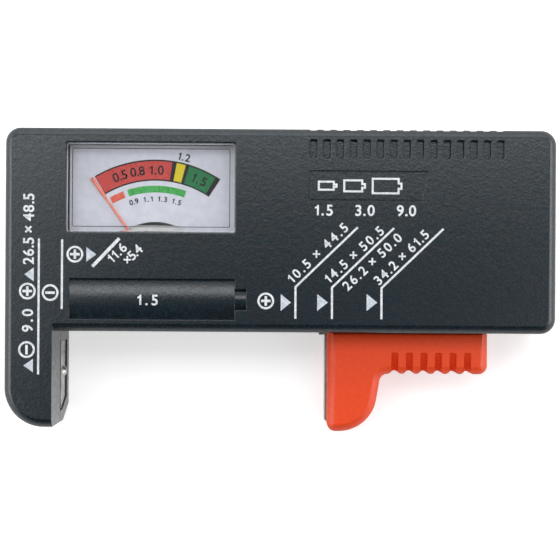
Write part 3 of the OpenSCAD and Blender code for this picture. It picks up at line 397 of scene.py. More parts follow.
def relief():
    """The sunken cell: two curved floors, the upright walls from them up to the edge of the pocket,
    and that edge's rounding. Returns the faces and the ring on the face."""
    (x0, y0), (w, h), (nub_w, nub_h) = RELIEF_LO, RELIEF_SIZE, NUB_SIZE
    x1, x2, y1, middle, top = x0 + w, x0 + w + nub_w, y0 + h, y0 + h / 2, DEPTH - RELIEF_RIM
    n0, n1 = middle - nub_h / 2, middle + nub_h / 2
    y = np.linspace(y0, y1, 31)
    y = np.sort(np.append(y[np.abs(np.abs(y - middle) - nub_h / 2) > 0.25], (n0, n1)))
    nub_y = y[(y >= n0) & (y <= n1)]
    z, nub_z = cell_side(y, h / 2), cell_side(nub_y, nub_h / 2)

    def line(*axes):
        return np.stack(np.broadcast_arrays(*axes), -1).astype(float)

    def strip(*lines, flip=False):
        return loft([line(*axes) for axes in lines], wrap=False, flip=flip)

    def wall(x, y, z, flip=True):
        return strip((x, y, z), (x, y, top), flip=flip)

    parts = [strip((x1, y, z), (x0, y, z)), strip((x2, nub_y, nub_z), (x1, nub_y, nub_z)),
             wall(x0, y, z, False), wall((x0, x1), y0, z[0]), wall((x0, x1), y1, z[0], False)]
    for side in (n0, n1):
        corners = (x1, nub_z[0]), (x2, nub_z[0]), (x2, top), (x1, top), (x1, cell_side(n0, h / 2))
        parts.append((np.array([(x, side, height) for x, height in corners]), np.arange(5)[None]))
    parts += [wall(x2, nub_y, nub_z), wall(x1, y[y <= n0], z[y <= n0]), wall(x1, y[y >= n1], z[y >= n1]),
              strip((x1, nub_y, nub_z), (x1, nub_y, cell_side(nub_y, h / 2)))]
    path = np.concatenate([line(x0, y[:0:-1]), line(x0, y0)[None], line(x1, y[y < n0]), line(x1, n0)[None],
                           line(x2, nub_y), line(x1, n1)[None], line(x1, y[y > n1])])
    rings = edge_rings(path, RELIEF_RIM, DEPTH)
    return parts + [loft(rings, flip=True)], rings[-1]


def plate_frame(inset):
    """The four corners of the plate line, moved inwards."""
    (x, y), (w, h), slant = PLATE_LO, PLATE_SIZE, PLATE_SLANT
    corners = np.array([(x, y), (x + w - slant, y), (x + w, y + h), (x, y + h)], float)
    return corners - outward(corners) * inset


def front_shell(material):
    """Front shell: the outline carried up the side and round the front edge, with the flutes' notches
    pressed into its top side, a skirt that fills the upper part of the slider's slot, and a flat face."""
    path = case_path(FIT)
    skirt = between(path, 1, Y_BODY, *SLIDER_SLOT_X)
    skirt_point = skirt | np.roll(skirt, 1)
    wall_z = [SLIDER_SLOT_Z[1], JOINT, JOINT + JOINT_CHAMFER, NOTCH_LOW, NOTCH_LOW + NEAR]
    insets, heights = profile([0, JOINT_CHAMFER, 0, 0, 0], wall_z, FRONT_ROUND, DEPTH, flat=FRONT_SLANT)
    rows = heights[:, None]
    insets = np.where(skirt_point & (rows == JOINT), 0, insets[:, None])
    outer = case_rings(path, insets, heights, np.where(heights == JOINT, JOINT_CHAMFER, 0))
    walls = np.full(len(heights), WALL)
    inner = case_rings(path, walls, np.minimum(heights, FACE_IN), walls)
    across = np.abs(path[:, :1] - FLUTE_X).min(1) < FLUTE_WIDTH / 2 * 0.99
    sunk = on(path[:, 1], Y_TOP) & across & (rows > NOTCH_LOW) & (rows < NOTCH_HIGH)
    outer[..., 1] = np.where(sunk, Y_TOP - FLUTE_DEPTH, outer[..., 1])
    present = np.ones((len(heights) - 1, len(path)), bool)
    present[0] = skirt
    parts = [walled(outer, inner, present)]
    window = rounded_box(np.array(WINDOW_LO) - WINDOW_FIT, np.array(WINDOW_HI) + WINDOW_FIT, WINDOW_CORNER)
    window_rim = rim(window, WINDOW_RIM, FACE_IN, DEPTH)
    pockets = [rim(flute_path(x), FLUTE_RIM, DEPTH - FLUTE_DEPTH, DEPTH) for x in FLUTE_X]
    cell_parts, cell_ring = relief()
    line_out, line_in, line_low = plate_frame(0), plate_frame(PLATE_LINE), DEPTH - PLATE_LINE_DEPTH
    parts += [faces for faces, _, _ in [window_rim] + pockets] + cell_parts
    parts += [flat_face([low], DEPTH - FLUTE_DEPTH) for _, low, _ in pockets]
    parts.append(loft(stack((line_out, DEPTH), (line_out, line_low), (line_in, line_low), (line_in, DEPTH))))
    rings = [window_rim[2]] + [top for _, _, top in pockets]
    parts.append(flat_face([outer[-1], cell_ring, line_out, line_in] + rings, DEPTH))
    parts.append(flat_face([inner[-1], window_rim[1]], FACE_IN, flip=True))
    return make_piece("front_shell_skin", parts, "case", material, bevel=EDGE_BREAK)


def back_shell(material):
    """Back shell: the outline carried down the side and round the back edge, with the slider's slot,
    the leg's slot and the two contact windows left out, a flat back, and a well for each screw."""
    path = case_path(0)
    wall_z = [JOINT, JOINT - JOINT_CHAMFER, NINE_VOLT_Z[1], SLIDER_SLOT_Z[1], BEVEL_HEIGHT, SLIDER_SLOT_Z[0],
              NINE_VOLT_Z[0], LEG_SLOT_Z[1]]
    insets, heights = profile([JOINT_CHAMFER] + [0] * 7, wall_z, BACK_ROUND, 0, up=-1)
    low_corner = on(path[:, 0], X_LEG) & on(path[:, 1], LEG_SLOT_Y[0])
    rows = heights[:, None]
    lifted = np.where(low_corner & (rows >= LEG_SLOT_Z[1]), np.maximum(rows, LEG_SLOT_Z[0]), rows)
    outer = case_rings(path, insets, lifted, np.where(heights == JOINT, JOINT_CHAMFER, 0))
    walls = np.full(len(heights), WALL)
    inner = case_rings(path, walls, np.maximum(lifted, FLOOR_IN), walls, WALL)
    present = np.ones((len(heights) - 1, len(path)), bool)
    openings = [(between(path, 1, Y_BODY, *SLIDER_SLOT_X), SLIDER_SLOT_Z[0], JOINT),
                (between(path, 0, X_LEG, LEG_SLOT_Y[0], LEG_SLOT_Y[2]), LEG_SLOT_Z[1], JOINT)]
    openings += [(between(path, 0, X_LEFT, y - NINE_VOLT_HALF, y + NINE_VOLT_HALF), *NINE_VOLT_Z)
                 for y in NINE_VOLT_Y]
    for along, low, high in openings:
        present &= ~(along & (rows[1:] >= low) & (rows[:-1] <= high))
    points, faces = walled(outer, inner, present)
    wells = [rim(arc(at, SCREW_WELL, 0, 360, 32), SCREW_WELL_RIM, SCREW_WELL_DEPTH, 0, -1) for at in SCREWS]
    parts = [(points, faces[:, ::-1]), flat_face([outer[-1]] + [ring for _, _, ring in wells], 0, flip=True),
             flat_face([inner[-1]], FLOOR_IN)]
    parts += [faces for faces, _, _ in wells]
    parts += [flat_face([low], SCREW_WELL_DEPTH, flip=True) for _, low, _ in wells]
    return make_piece("back_shell_skin", parts, "case", material, bevel=EDGE_BREAK)


# ---------- meter ----------

def meter_cover(material):
    """Clear cover of the meter: a box with a smaller raised window on top, whose front edge is rounded,
    hollow from below, its inside following the outside a wall's thickness in."""

    def rings(wall, box_corner, window_corner, box_top, top, edge):
        box = rounded_box(np.array(METER_LO) + wall, np.array(METER_HI) - wall, box_corner)
        window = rounded_box(np.array(WINDOW_LO) + wall, np.array(WINDOW_HI) - wall, window_corner)
        below = stack((box, COVER_BOTTOM), (box, box_top), (window, box_top))
        return below + edge_rings(window, edge, top, 4, out=-1)

    outer, inner = rings(*COVER_OUTSIDE), rings(*COVER_INSIDE)
    parts = [loft(outer), loft(inner, flip=True), loft([inner[0], outer[0]]),
             flat_face([outer[-1]], WINDOW_TOP), flat_face([inner[-1]], WINDOW_TOP - COVER_WALL, flip=True)]
    return make_piece("meter_cover_clear", parts, "case", material)


def from_dial(r, angle):
    """Places at a radius from the pointer's pivot and an angle clockwise from straight up, in degrees."""
    angle = np.radians(angle)
    return np.stack([PIVOT[0] + r * np.sin(angle), PIVOT[1] + r * np.cos(angle)], -1)


def band(r_low, r_high, start, stop, low, high):
    """A piece of a ring about the pivot, printed on the card."""
    angles = np.linspace(start, stop, max(3, int(abs(stop - start) * STEPS_PER_DEGREE)))
    return plate(np.concatenate([from_dial(r_low, angles), from_dial(r_high, angles[::-1])]), low, high)


def pointer(material):
    """Pointer: a thin rod with a crowned back that widens to a flat blade near its tip, bent a little
    past the stops, with a ring round the shaft and a short tail."""
    along, half = np.array(POINTER_HALF).T
    turn = np.radians(np.linspace(0, 180, 9))
    across = half[:, None] * np.cos(turn) + np.interp(along, *POINTER_BEND)[:, None]
    height = np.minimum(POINTER_CROWN * half[:, None], POINTER_CROWN_MOST) * np.sin(turn)
    height += POINTER_Z + POINTER_BASE
    points = np.stack([across, np.broadcast_to(along[:, None], across.shape), height], -1)
    under = points.copy()
    under[..., 2] = POINTER_Z
    rings = np.concatenate([points, under[:, ::-1]], 1)
    rings[..., :2] = turned(rings[..., :2], REST_ANGLE, PIVOT)
    caps = [(rings[k], [list(range(rings.shape[1]))]) for k in (0, -1)]
    hub = frame_plate(*[arc(PIVOT, r, 0, 360, 32) for r in HUB_R], POINTER_Z, POINTER_Z + HUB_DEPTH)
    return make_piece("pointer_rod", [grid(rings)] + caps + hub, "movement", material)


# ---------- slider ----------

def groove_centres(x):
    """Centre of the grip groove nearest to each place along the bar."""
    k = np.clip(np.round((x - GROOVE_FIRST) / GROOVE_PITCH), 0, GROOVES - 1)
    return GROOVE_FIRST + GROOVE_PITCH * k


def groove_half(x):
    """Depth of the round bottom of a groove at a place along the bar, and whether a groove is there."""
    off = x - groove_centres(x)
    inside = np.abs(off) < GROOVE_R + 1e-6
    return np.sqrt(np.clip(GROOVE_R ** 2 - off ** 2, 0, None)), inside


def lobes(x):
    """How far the bar's lower edge is drawn in at a place along it, so that round lobes are left
    between the grooves."""
    off = np.abs(x - groove_centres(x))
    curve = GROOVE_R * np.cos(np.radians(90) * np.clip(off / LOBE_REACH, 0, 1)) ** LOBE_POWER
    return np.where(off < LOBE_REACH, curve, 0)


def bar_height(x, y):
    """Height of the grip bar's front: flat, falling at its lower edge as the outline's front edge does,
    and cut by round-bottomed grooves that sink towards that edge."""
    into = np.clip(S_BAR + FRONT_ROUND - y, 0, FRONT_ROUND)
    surface = np.interp(FRONT_ROUND - into, *rounding(FRONT_ROUND, S_FRONT, EDGE_STEPS, flat=FRONT_SLANT))
    half, inside = groove_half(x)
    start = S_BAR + GROOVE_TOP
    bottom = S_FRONT + GROOVE_LIFT - math.tan(GROOVE_SLOPE) * (start - y) - half / math.cos(GROOVE_SLOPE)
    return np.where(inside & (y < start - 0.001), np.minimum(surface, bottom), surface)


def slider_path():
    """Front outline of the slider: down the arm's flat contact side, round its foot, up the leaning
    side, along the grip bar past the grooves, and back along the top."""
    lean = math.radians(LEAN)
    leave = np.array(BIG_CENTRE) + BIG_R * np.array([math.cos(lean), -math.sin(lean)])
    meet = np.array(SMALL_CENTRE) + SMALL_R * np.array([-math.cos(lean), math.sin(lean)])
    centres, steps = GROOVE_FIRST + GROOVE_PITCH * np.arange(GROOVES), GROOVE_R * GROOVE_COLUMNS
    columns = np.add.outer(centres, np.concatenate([steps, -steps])).ravel()
    return np.concatenate([
        straight((S_LEFT, S_TOP), (S_LEFT, S_ARM + ARM_CORNER)),
        arc((S_LEFT + ARM_CORNER, S_ARM + ARM_CORNER), ARM_CORNER, 180, 90, 8),
        straight((S_LEFT + ARM_CORNER, S_ARM), (BIG_CENTRE[0], S_ARM)),
        arc(BIG_CENTRE, BIG_R, -90, 90 - LEAN, 24),
        straight(leave, meet),
        arc(SMALL_CENTRE, SMALL_R, 180 - LEAN, LEAN - 90, 10),
        straight((SMALL_CENTRE[0], S_BAR), (S_RIGHT - BAR_CORNER, S_BAR), columns - SMALL_CENTRE[0]),
        arc((S_RIGHT - BAR_CORNER, S_BAR + BAR_CORNER), BAR_CORNER, -90, 90, 8),
        straight((S_RIGHT, S_BAR + BAR_CORNER), (S_RIGHT, S_TOP)),
        straight((S_RIGHT, S_TOP), (S_LEFT, S_TOP))])


def slab(lo, hi):
    """A block with small chamfers along its upper and lower edges."""
    edge = SLAB_EDGE
    path = rounded_box(lo[:2], hi[:2], edge, 2)
    small = path - outward(path) * edge * 0.9
    return closed(stack((small, lo[2]), (path, lo[2] + edge), (path, hi[2] - edge), (small, hi[2])))


def slider(material):
    """Slider: its outline carried up the side and round the front edge, with the grooves pressed into
    the bar's part of that sheet, and the neck and flange that run in the case's slot."""
    path = slider_path()
    top, bar = path[:, 1] > S_TOP - NEAR, on(path[:, 1], S_BAR)
    inside = groove_half(path[:, 0])[1] & bar
    insets, heights = (column[:, None] for column in profile(
        [S_BACK_CHAMFER, 0], [S_BACK, S_BACK + S_BACK_CHAMFER], FRONT_ROUND, S_FRONT, band=2 * FACE_BAND,
        flat=FRONT_SLANT))
    cut = np.where(bar, lobes(path[:, 0]), 0)
    squeezed = insets * np.where(insets > S_BACK_CHAMFER, 1 - cut / insets[-1], 1)
    x, y = (path[:, k] - outward(path)[:, k] * insets for k in (0, 1))
    over = np.clip(heights - (S_FRONT - S_TOP_ROUND), 0, S_TOP_ROUND)
    top_inset = S_TOP_ROUND - np.sqrt(S_TOP_ROUND ** 2 - over ** 2) + FACE_BAND * (insets > FRONT_ROUND)
    y = np.where(top, S_TOP - top_inset, y)
    x, y = np.where(bar, path[:, 0], x), np.where(bar, S_BAR + cut + squeezed, y)
    front = heights > S_BACK + S_BACK_CHAMFER
    z = np.where(bar & front, bar_height(x, y), np.broadcast_to(heights, x.shape))
    rings = np.stack([x, y, z], -1)
    first, last = np.nonzero(inside)[0][[0, -1]] + [-1, 1]
    columns = path[first:last + 1, 0]
    rows = np.append(np.linspace(S_BAR + insets[-1, 0], S_BAR + GROOVE_TOP - 0.03, 7), S_BAR + GROOVE_TOP)
    field_x, field_y = np.meshgrid(columns, rows)
    field = np.stack([field_x, field_y, bar_height(field_x, field_y)], -1)
    around = field[:, 0], field[-1, 1:-1], field[::-1, -1]
    face_path = np.concatenate([rings[-1, :first], *around, rings[-1, last + 1:]])
    parts = [grid(rings), grid(field, wrap=False), flat_face([face_path], S_FRONT),
             flat_face([rings[0]], S_BACK, True), *slab(*NECK), *slab(*FLANGE)]
    return make_piece("slider_body", parts, "slider", material, sharp=38)


# ---------- printed marks ----------

ONE = ((0.24, 0), (0.43, 0), (0.43, 1), (0.28, 1), (0.22, 0.86), (0.05, 0.78), (0.05, 0.63), (0.24, 0.7))


def triangles(mesh):
    """A mesh's points and triangles as arrays. The mesh itself is thrown away."""
    mesh.calc_loop_triangles()
    points, faces = np.empty(3 * len(mesh.vertices)), np.empty(3 * len(mesh.loop_triangles), np.int32)
    mesh.vertices.foreach_get("co", points)
    mesh.loop_triangles.foreach_get("vertices", faces)
    bpy.data.meshes.remove(mesh)
    return points.reshape(-1, 3), faces.reshape(-1, 3)


def figure(mark):
    """One figure of the built-in font as a mesh from 0 to 1 in depth and in height. The figure 1 is
    drawn afresh, because the font's has no flag."""
    if mark == "1":
        (points, sides), *faces = plate(np.array(ONE), 0, 1)
        return joined([(points, np.concatenate([sides[:, :3], sides[:, [0, 2, 3]]]))] + faces)
    text = bpy.data.curves.new(mark, "FONT")
    text.body, text.extrude, text.offset, text.resolution_u = mark, 0.5, 0.02, 4
    holder = bpy.data.objects.new(mark, text)
    points, faces = triangles(bpy.data.meshes.new_from_object(holder))
    bpy.data.objects.remove(holder)
    points /= (FONT_HEIGHT, FONT_HEIGHT, 1)
    points[:, 0] -= points[:, 0].min()
    points[:, 2] = points[:, 2] > 0
    return points, faces


def letters(words, height, width):
    """Plain numbers as one thin mesh, centred, with even gaps between the figures."""
    blank = np.empty((0, 3)), np.empty((0, 3), int)
    shapes = [blank if mark == " " else figure(mark) for mark in words]
    widths = np.array([points[:, 0].max() if len(points) else SPACE for points, _ in shapes])
    gap = (width / height - widths.sum()) / (len(words) - 1)
    starts = np.concatenate([[0], np.cumsum(widths + gap)[:-1]])
    shapes = [(points + (start, 0, 0), faces) for (points, faces), start in zip(shapes, starts)]
    points, faces = joined(shapes)
    return (points - (points[:, 0].max() / 2, 0.5, 0)) * (height, height, 1), faces


def sliced(part, cuts):
    """The same mesh cut across at some heights along Y, so that it can follow a curved surface."""
    work = bmesh.new()
    points, faces = part
    corners = [work.verts.new(point) for point in points.tolist()]
    for face in faces:
        work.faces.new([corners[k] for k in face])
    for y in cuts:
        whole = work.verts[:] + work.edges[:] + work.faces[:]
        bmesh.ops.bisect_plane(work, geom=whole, plane_co=(0, y, 0), plane_no=(0, 1, 0), dist=1e-5)
    bmesh.ops.triangulate(work, faces=work.faces)
    mesh = bpy.data.meshes.new("sliced")
    work.to_mesh(mesh)
    work.free()
    return triangles(mesh)


def laid(part, at, turn, low, high):
    """A thin mesh turned, moved to a place and given its two heights."""
    points, faces = part
    return at_height(turned(points, turn, at), np.where(points[:, 2] > 0.5, high, low)), faces


def stroke(points, width):
    """Outline of a line of even width through some points, with square ends and mitred bends."""
    points = np.asarray(points, float)
    edge = np.diff(points, axis=0)
    normal = np.stack([edge[:, 1], -edge[:, 0]], 1) / np.hypot(*edge.T)[:, None]
    both = np.concatenate([normal[:1] * 2, normal[1:] + normal[:-1], normal[-1:] * 2])
    move = both * (width / (both * both).sum(1))[:, None]
    return np.concatenate([points + move, (points - move)[::-1]])


def sign(at, minus, upright):
    """A ring round a plus or a minus, lying or upright."""
    arm, half = SIGN_ARM / 2, SIGN_BAR / 2
    bar = np.array([(-arm, -half), (arm, -half), (arm, half), (-arm, half)])
    if not minus:
        quarter, turn = np.array([(half, -arm), (half, -half), (arm, -half)]), np.array([(0, 1), (-1, 0)])
        bar = np.concatenate([quarter @ np.linalg.matrix_power(turn, k) for k in range(4)])
    if upright:
        bar = bar[:, ::-1] * (1, -1)
    ring = [arc(at, r, 0, 360, 40) for r in (SIGN_R, SIGN_R - LINE_WIDTH)]
    return frame_plate(*ring, *PRINT) + plate(bar + at, *PRINT)


def arrow(tip, back, half):
    """Outline of a triangle that points along X from its back edge to its tip."""
    corners = np.array([(tip[0], tip[1]), (back, tip[1] + half), (back, tip[1] - half)])
    return corners if tip[0] > back else corners[::-1]


def cell_picture(x, width, height):
    """Outline of a lying round cell with its small positive end to the right, as a frame."""
    end, nub, half, rise = x + width, x + width + PICTURE_NUB, height / 2, height * PICTURE_NUB_RISE
    lower = np.array([(x, -half), (end, -half), (end, -rise), (nub, -rise)])
    return np.concatenate([lower, lower[::-1] * (1, -1)]) + (0, PICTURE_Y)


def case_marks():
    """White lines, signs and numbers on the case front, and the greyer triangles."""
    lines = [stroke(points, LINE_WIDTH) for points in GUIDE_LINES + SIDE_LINES] + [stroke(SLASH, SLASH_WIDTH)]
    parts = sum([plate(line, *PRINT) for line in lines] + [sign(*kind) for kind in SIGNS], [])
    for words, at, turn, height, width in CASE_NUMBERS:
        parts.append(laid(letters(words, height, width), at, turn, *PRINT))
    number = sliced(letters(*RELIEF_NUMBER), RELIEF_NUMBER_CUTS)
    points, faces = laid(number, RELIEF_NUMBER_AT, 0, *RELIEF_PRINT)
    points[:, 2] += cell_side(points[:, 1], RELIEF_SIZE[1] / 2)
    parts.append((points, faces))
    for x, width, height in CELL_PICTURES:
        picture = cell_picture(x, width, height)
        parts += frame_plate(picture, picture - outward(picture) * PICTURE_LINE, *PRINT)
    make_piece("white_marks", parts, "case", finishes["white_ink"], sharp=30)
    parts = sum([plate(arrow(*corners), *PRINT) for corners in ARROWS], [])
    make_piece("arrow_marks", parts, "case", finishes["grey_ink"], sharp=30)


def dial():
    """The printed scale: a black sector with coloured sectors on it, a small band under it, numbers."""
    parts = band(*SCALE_R, *SCALE_ANGLES, DIAL_LOW, DIAL_HIGH)
    for words, angle, r, height, width in DIAL_NUMBERS:
        number = letters(words, height, width)
        parts.append(laid(number, from_dial(r, angle), -angle, DIAL_LOW, DIAL_TOP))
    make_piece("dial_black", parts, "case", finishes["black_ink"], sharp=30)
    for name, radii, angles, top in DIAL_BANDS:
        parts = band(*radii, *angles, DIAL_LOW, top)
        make_piece("dial_" + name, parts, "case", finishes[name + "_ink"], sharp=30)


# ---------- materials ----------

def srgb(red, green, blue):
    """A colour given in screen steps, 0 to 255, as the linear colour of the shaders."""
    steps = np.array([red, green, blue]) / 255
    return (*np.where(steps <= 0.04045, steps / 12.92, ((steps + 0.055) / 1.055) ** 2.4), 1.0)


class Nodes:
    """Short ways to add nodes to a tree and to join them."""

    def __init__(self, tree):
        self.tree = tree

    def add(self, kind, inputs=None, **settings):
        node = self.tree.nodes.new("ShaderNode" + kind)
        for name, value in settings.items():
            setattr(node, name, value)
        for name, value in (inputs or {}).items():
            self.put(node.inputs[name], value)
        return node

    def put(self, socket, value):
        if isinstance(value, bpy.types.NodeSocket):
            self.tree.links.new(value, socket)
        else:
            socket.default_value = value

    def maths(self, operation, a, b=0.0):
        return self.add("Math", {0: a, 1: b}, operation=operation).outputs[0]

    def times(self, a, b):
        return self.maths("MULTIPLY", a, b)

    def mix(self, factor, a, b):
        """A mix of two colours, each a socket or three screen steps."""
        node = self.add("Mix", data_type="RGBA")
        for socket, value in ((0, factor), (6, a), (7, b)):
            self.put(node.inputs[socket], srgb(*value) if isinstance(value, tuple) else value)
        return node.outputs[2]

    def noise(self, where, scale, detail, **more):
        return self.add("TexNoise", {"Vector": where, "Scale": scale, "Detail": detail, **more}).outputs[0]

    def spread(self, value, low, high, to_low=0.0, to_high=1.0):
        """The value's range from low to high stretched to another range, and held at its ends."""
        names = {"Value": value, "From Min": low, "From Max": high, "To Min": to_low, "To Max": to_high}
        return self.add("MapRange", names).outputs[0]

    def seen(self):
        """1 for rays from the camera, straight or through the window, and 0 for all other light."""
        rays = self.add("LightPath").outputs
        return self.maths("MAXIMUM", rays["Is Camera Ray"], rays["Is Transmission Ray"])


class Finish(Nodes):
    """The nodes of a new material, with some plain values of its Principled shader."""

    def __init__(self, name, values):
        self.material = bpy.data.materials.new(name)
        self.material.use_nodes = True
        super().__init__(self.material.node_tree)
        self.shader = self.tree.nodes["Principled BSDF"]
        for label, value in values.items():
            self.shader.inputs[label].default_value = value

    def use(self, name, **values):
        """One of the shared effects, with this material's own values."""
        return self.add("Group", values, node_tree=EFFECTS[name]).outputs

    def dress(self, colour, roughness, height, depth, strength=1.0):
        """The shader's colour, roughness, and relief with its depth in metres. Returns the material."""
        bump = self.add("Bump", {"Height": height, "Distance": depth, "Strength": strength}).outputs[0]
        for label, value in (("Base Color", colour), ("Roughness", roughness), ("Normal", bump)):
            self.put(self.shader.inputs[label], value)
        return self.material

    def end_with(self, kind, inputs):
        """A last shader in place of the Principled shader. Returns the material."""
        self.put(self.tree.nodes["Material Output"].inputs[0], self.add(kind, inputs).outputs[0])
        return self.material


def effect(name, inputs, outputs, build):
    """A shader node group with named inputs, each with its first value, and named outputs."""
    tree = bpy.data.node_groups.new(name, "ShaderNodeTree")
    for label, value in inputs.items():
        kind = "NodeSocketVector" if isinstance(value, tuple) else "NodeSocketFloat"
        tree.interface.new_socket(label, in_out="INPUT", socket_type=kind).default_value = value
    for label in outputs:
        tree.interface.new_socket(label, in_out="OUTPUT", socket_type="NodeSocketFloat")
    nodes = Nodes(tree)
    given, result = tree.nodes.new("NodeGroupInput"), tree.nodes.new("NodeGroupOutput")
    where = nodes.add("TexCoord").outputs["Object"]
    for label, value in build(nodes, given.outputs, where).items():
        nodes.put(result.inputs[label], value)
    return tree


def spark_texture(nodes, given, where):
    """Spark-eroded mould surface: two sizes of fine round bumps, and pale specks on the highest."""
    fine = nodes.noise(where, given["Scale"], 2.0, Roughness=0.6)
    coarse = nodes.noise(where, nodes.times(given["Scale"], 0.38), 1.0)
    height = nodes.maths("ADD", nodes.times(fine, 0.65), nodes.times(coarse, 0.35))
    return {"Height": height, "Specks": nodes.spread(height, 0.42, 0.62)}


def flow_marks(nodes, given, where):
    """Broad uneven patches left by the melt, and a finer drift inside them."""
    return {"Patches": nodes.spread(nodes.noise(where, given["Scale"], 3.0, Distortion=0.4), 0.35, 0.65)}


def handling(nodes, given, where):
    """Faint hairline scratches: thin bands where a stretched noise crosses its middle, kept in patches."""
    lines = []
    for turn, stretch in ((0.5, (60.0, 900.0, 60.0)), (-0.9, (900.0, 50.0, 60.0))):
        mapping = {"Vector": where, "Rotation": (0, 0, turn), "Scale": stretch}
        noise = nodes.noise(nodes.add("Mapping", mapping).outputs[0], given["Scale"], 1.0)
        away = nodes.maths("ABSOLUTE", nodes.maths("SUBTRACT", noise, 0.5))
        lines.append(nodes.spread(away, 0.0, given["Width"], 1.0, 0.0))
    patches = nodes.spread(nodes.noise(where, 90.0, 2.0), 0.5, 0.62)
    return {"Scratches": nodes.times(nodes.maths("MAXIMUM", *lines), patches)}


def rolled_metal(nodes, given, where):
    """Lengthways rolling lines and dull blotches of a sheet-metal or turned part."""
    along = nodes.add("VectorMath", {0: where, 1: given["Stretch"]}, operation="MULTIPLY").outputs[0]
    return {"Lines": nodes.noise(along, 1.0, 4.0, Roughness=0.7),
            "Dull": nodes.spread(nodes.noise(where, given["Blotches"], 3.0), 0.4, 0.7)}


def paper_fibres(nodes, given, where):
    """Soft cloudiness and short fibres of coated card."""
    return {"Cloud": nodes.spread(nodes.noise(where, given["Scale"], 4.0), 0.35, 0.65),
            "Fibres": nodes.noise(where, nodes.times(given["Scale"], 6.0), 2.0, Distortion=3.0)}


EFFECTS = {name: effect(name, *contents) for name, contents in {
    "spark texture": ({"Scale": 2600.0}, ["Height", "Specks"], spark_texture),
    "flow marks": ({"Scale": 40.0}, ["Patches"], flow_marks),
    "handling": ({"Scale": 1.0, "Width": 0.004}, ["Scratches"], handling),
    "rolled metal": ({"Stretch": (200, 4000, 4000), "Blotches": 300.0}, ["Lines", "Dull"], rolled_metal),
    "paper": ({"Scale": 700.0}, ["Cloud", "Fibres"], paper_fibres)}.items()}


def moulded(name, dark, mid, pale, grain, depth, rough, gloss=0.5):
    """Moulded plastic: patchy body colour, specks on the peaks of its spark-eroded texture, and hairline
    scratches that shine a little more."""
    nodes = Finish(name, {"Specular IOR Level": gloss})
    surface, patches = nodes.use("spark texture", Scale=grain), nodes.use("flow marks")["Patches"]
    specks, scratches = surface["Specks"], nodes.use("handling")["Scratches"]
    body = nodes.mix(nodes.times(patches, 0.6), dark, mid)
    body = nodes.mix(nodes.times(specks, 0.8), body, pale)
    body = nodes.mix(nodes.times(scratches, 0.15), body, pale)
    roughness = nodes.spread(specks, 0, 1, rough + 0.05, rough - 0.05)
    roughness = nodes.maths("SUBTRACT", roughness, nodes.times(scratches, 0.08))
    return nodes.dress(body, roughness, surface["Height"], depth)


def metal(name, colour, dull, stretch, rough, depth=1.2e-5):
    """Sheet or turned metal: rolling lines in its gloss and relief, and duller, darker blotches."""
    nodes = Finish(name, {"Metallic": 1.0})
    surface = nodes.use("rolled metal", Stretch=stretch)
    uneven = nodes.maths("ADD", nodes.times(surface["Lines"], 0.18), nodes.times(surface["Dull"], 0.1))
    return nodes.dress(nodes.mix(surface["Dull"], colour, dull), nodes.maths("ADD", uneven, rough - 0.12),
                       surface["Lines"], depth, 0.6)


def ink(name, colour, thin, rough=0.6, gloss=0.1):
    """Pad-printed ink: slightly uneven cover, with the surface's grain showing through."""
    nodes = Finish(name, {"Specular IOR Level": gloss})
    surface = nodes.use("spark texture", Scale=2200.0)
    cover = nodes.mix(nodes.spread(surface["Specks"], 0.0, 0.8), thin, colour)
    roughness = nodes.spread(surface["Specks"], 0, 1, rough + 0.08, rough - 0.04)
    return nodes.dress(cover, roughness, surface["Height"], 6e-6)


def card(name, colour, other):
    """Coated card of the dial, faintly cloudy."""
    nodes = Finish(name, {"Specular IOR Level": 0.3})
    surface = nodes.use("paper")
    roughness = nodes.spread(surface["Fibres"], 0.3, 0.7, 0.5, 0.6)
    return nodes.dress(nodes.mix(surface["Cloud"], colour, other), roughness, surface["Fibres"], 4e-6)


def clear_plastic(name, colour):
    """Clear styrene: it bends light for the eye, and lets the light of the lamps through unbent."""
    nodes = Finish(name, {"IOR": 1.49, "Transmission Weight": 1.0, "Base Color": srgb(*colour)})
    scratches = nodes.use("handling", Width=0.0025)["Scratches"]
    nodes.put(nodes.shader.inputs["Roughness"], nodes.times(scratches, 0.12))
    rays = nodes.add("LightPath").outputs
    through = nodes.maths("MAXIMUM", rays["Is Shadow Ray"], rays["Is Diffuse Ray"])
    unbent = nodes.add("BsdfTransparent").outputs[0]
    return nodes.end_with("MixShader", {0: through, 1: nodes.shader.outputs[0], 2: unbent})


def plain(name, colour, other, rough, scale):
    """A drawn, dipped or pressed small part: two near colours in patches, and a fine grain."""
    nodes = Finish(name, {})
    surface = nodes.use("spark texture", Scale=1500.0)
    patches = nodes.use("flow marks", Scale=scale)["Patches"]
    roughness = nodes.spread(surface["Specks"], 0, 1, rough - 0.05, rough + 0.08)
    return nodes.dress(nodes.mix(patches, colour, other), roughness, surface["Height"], 8e-6)


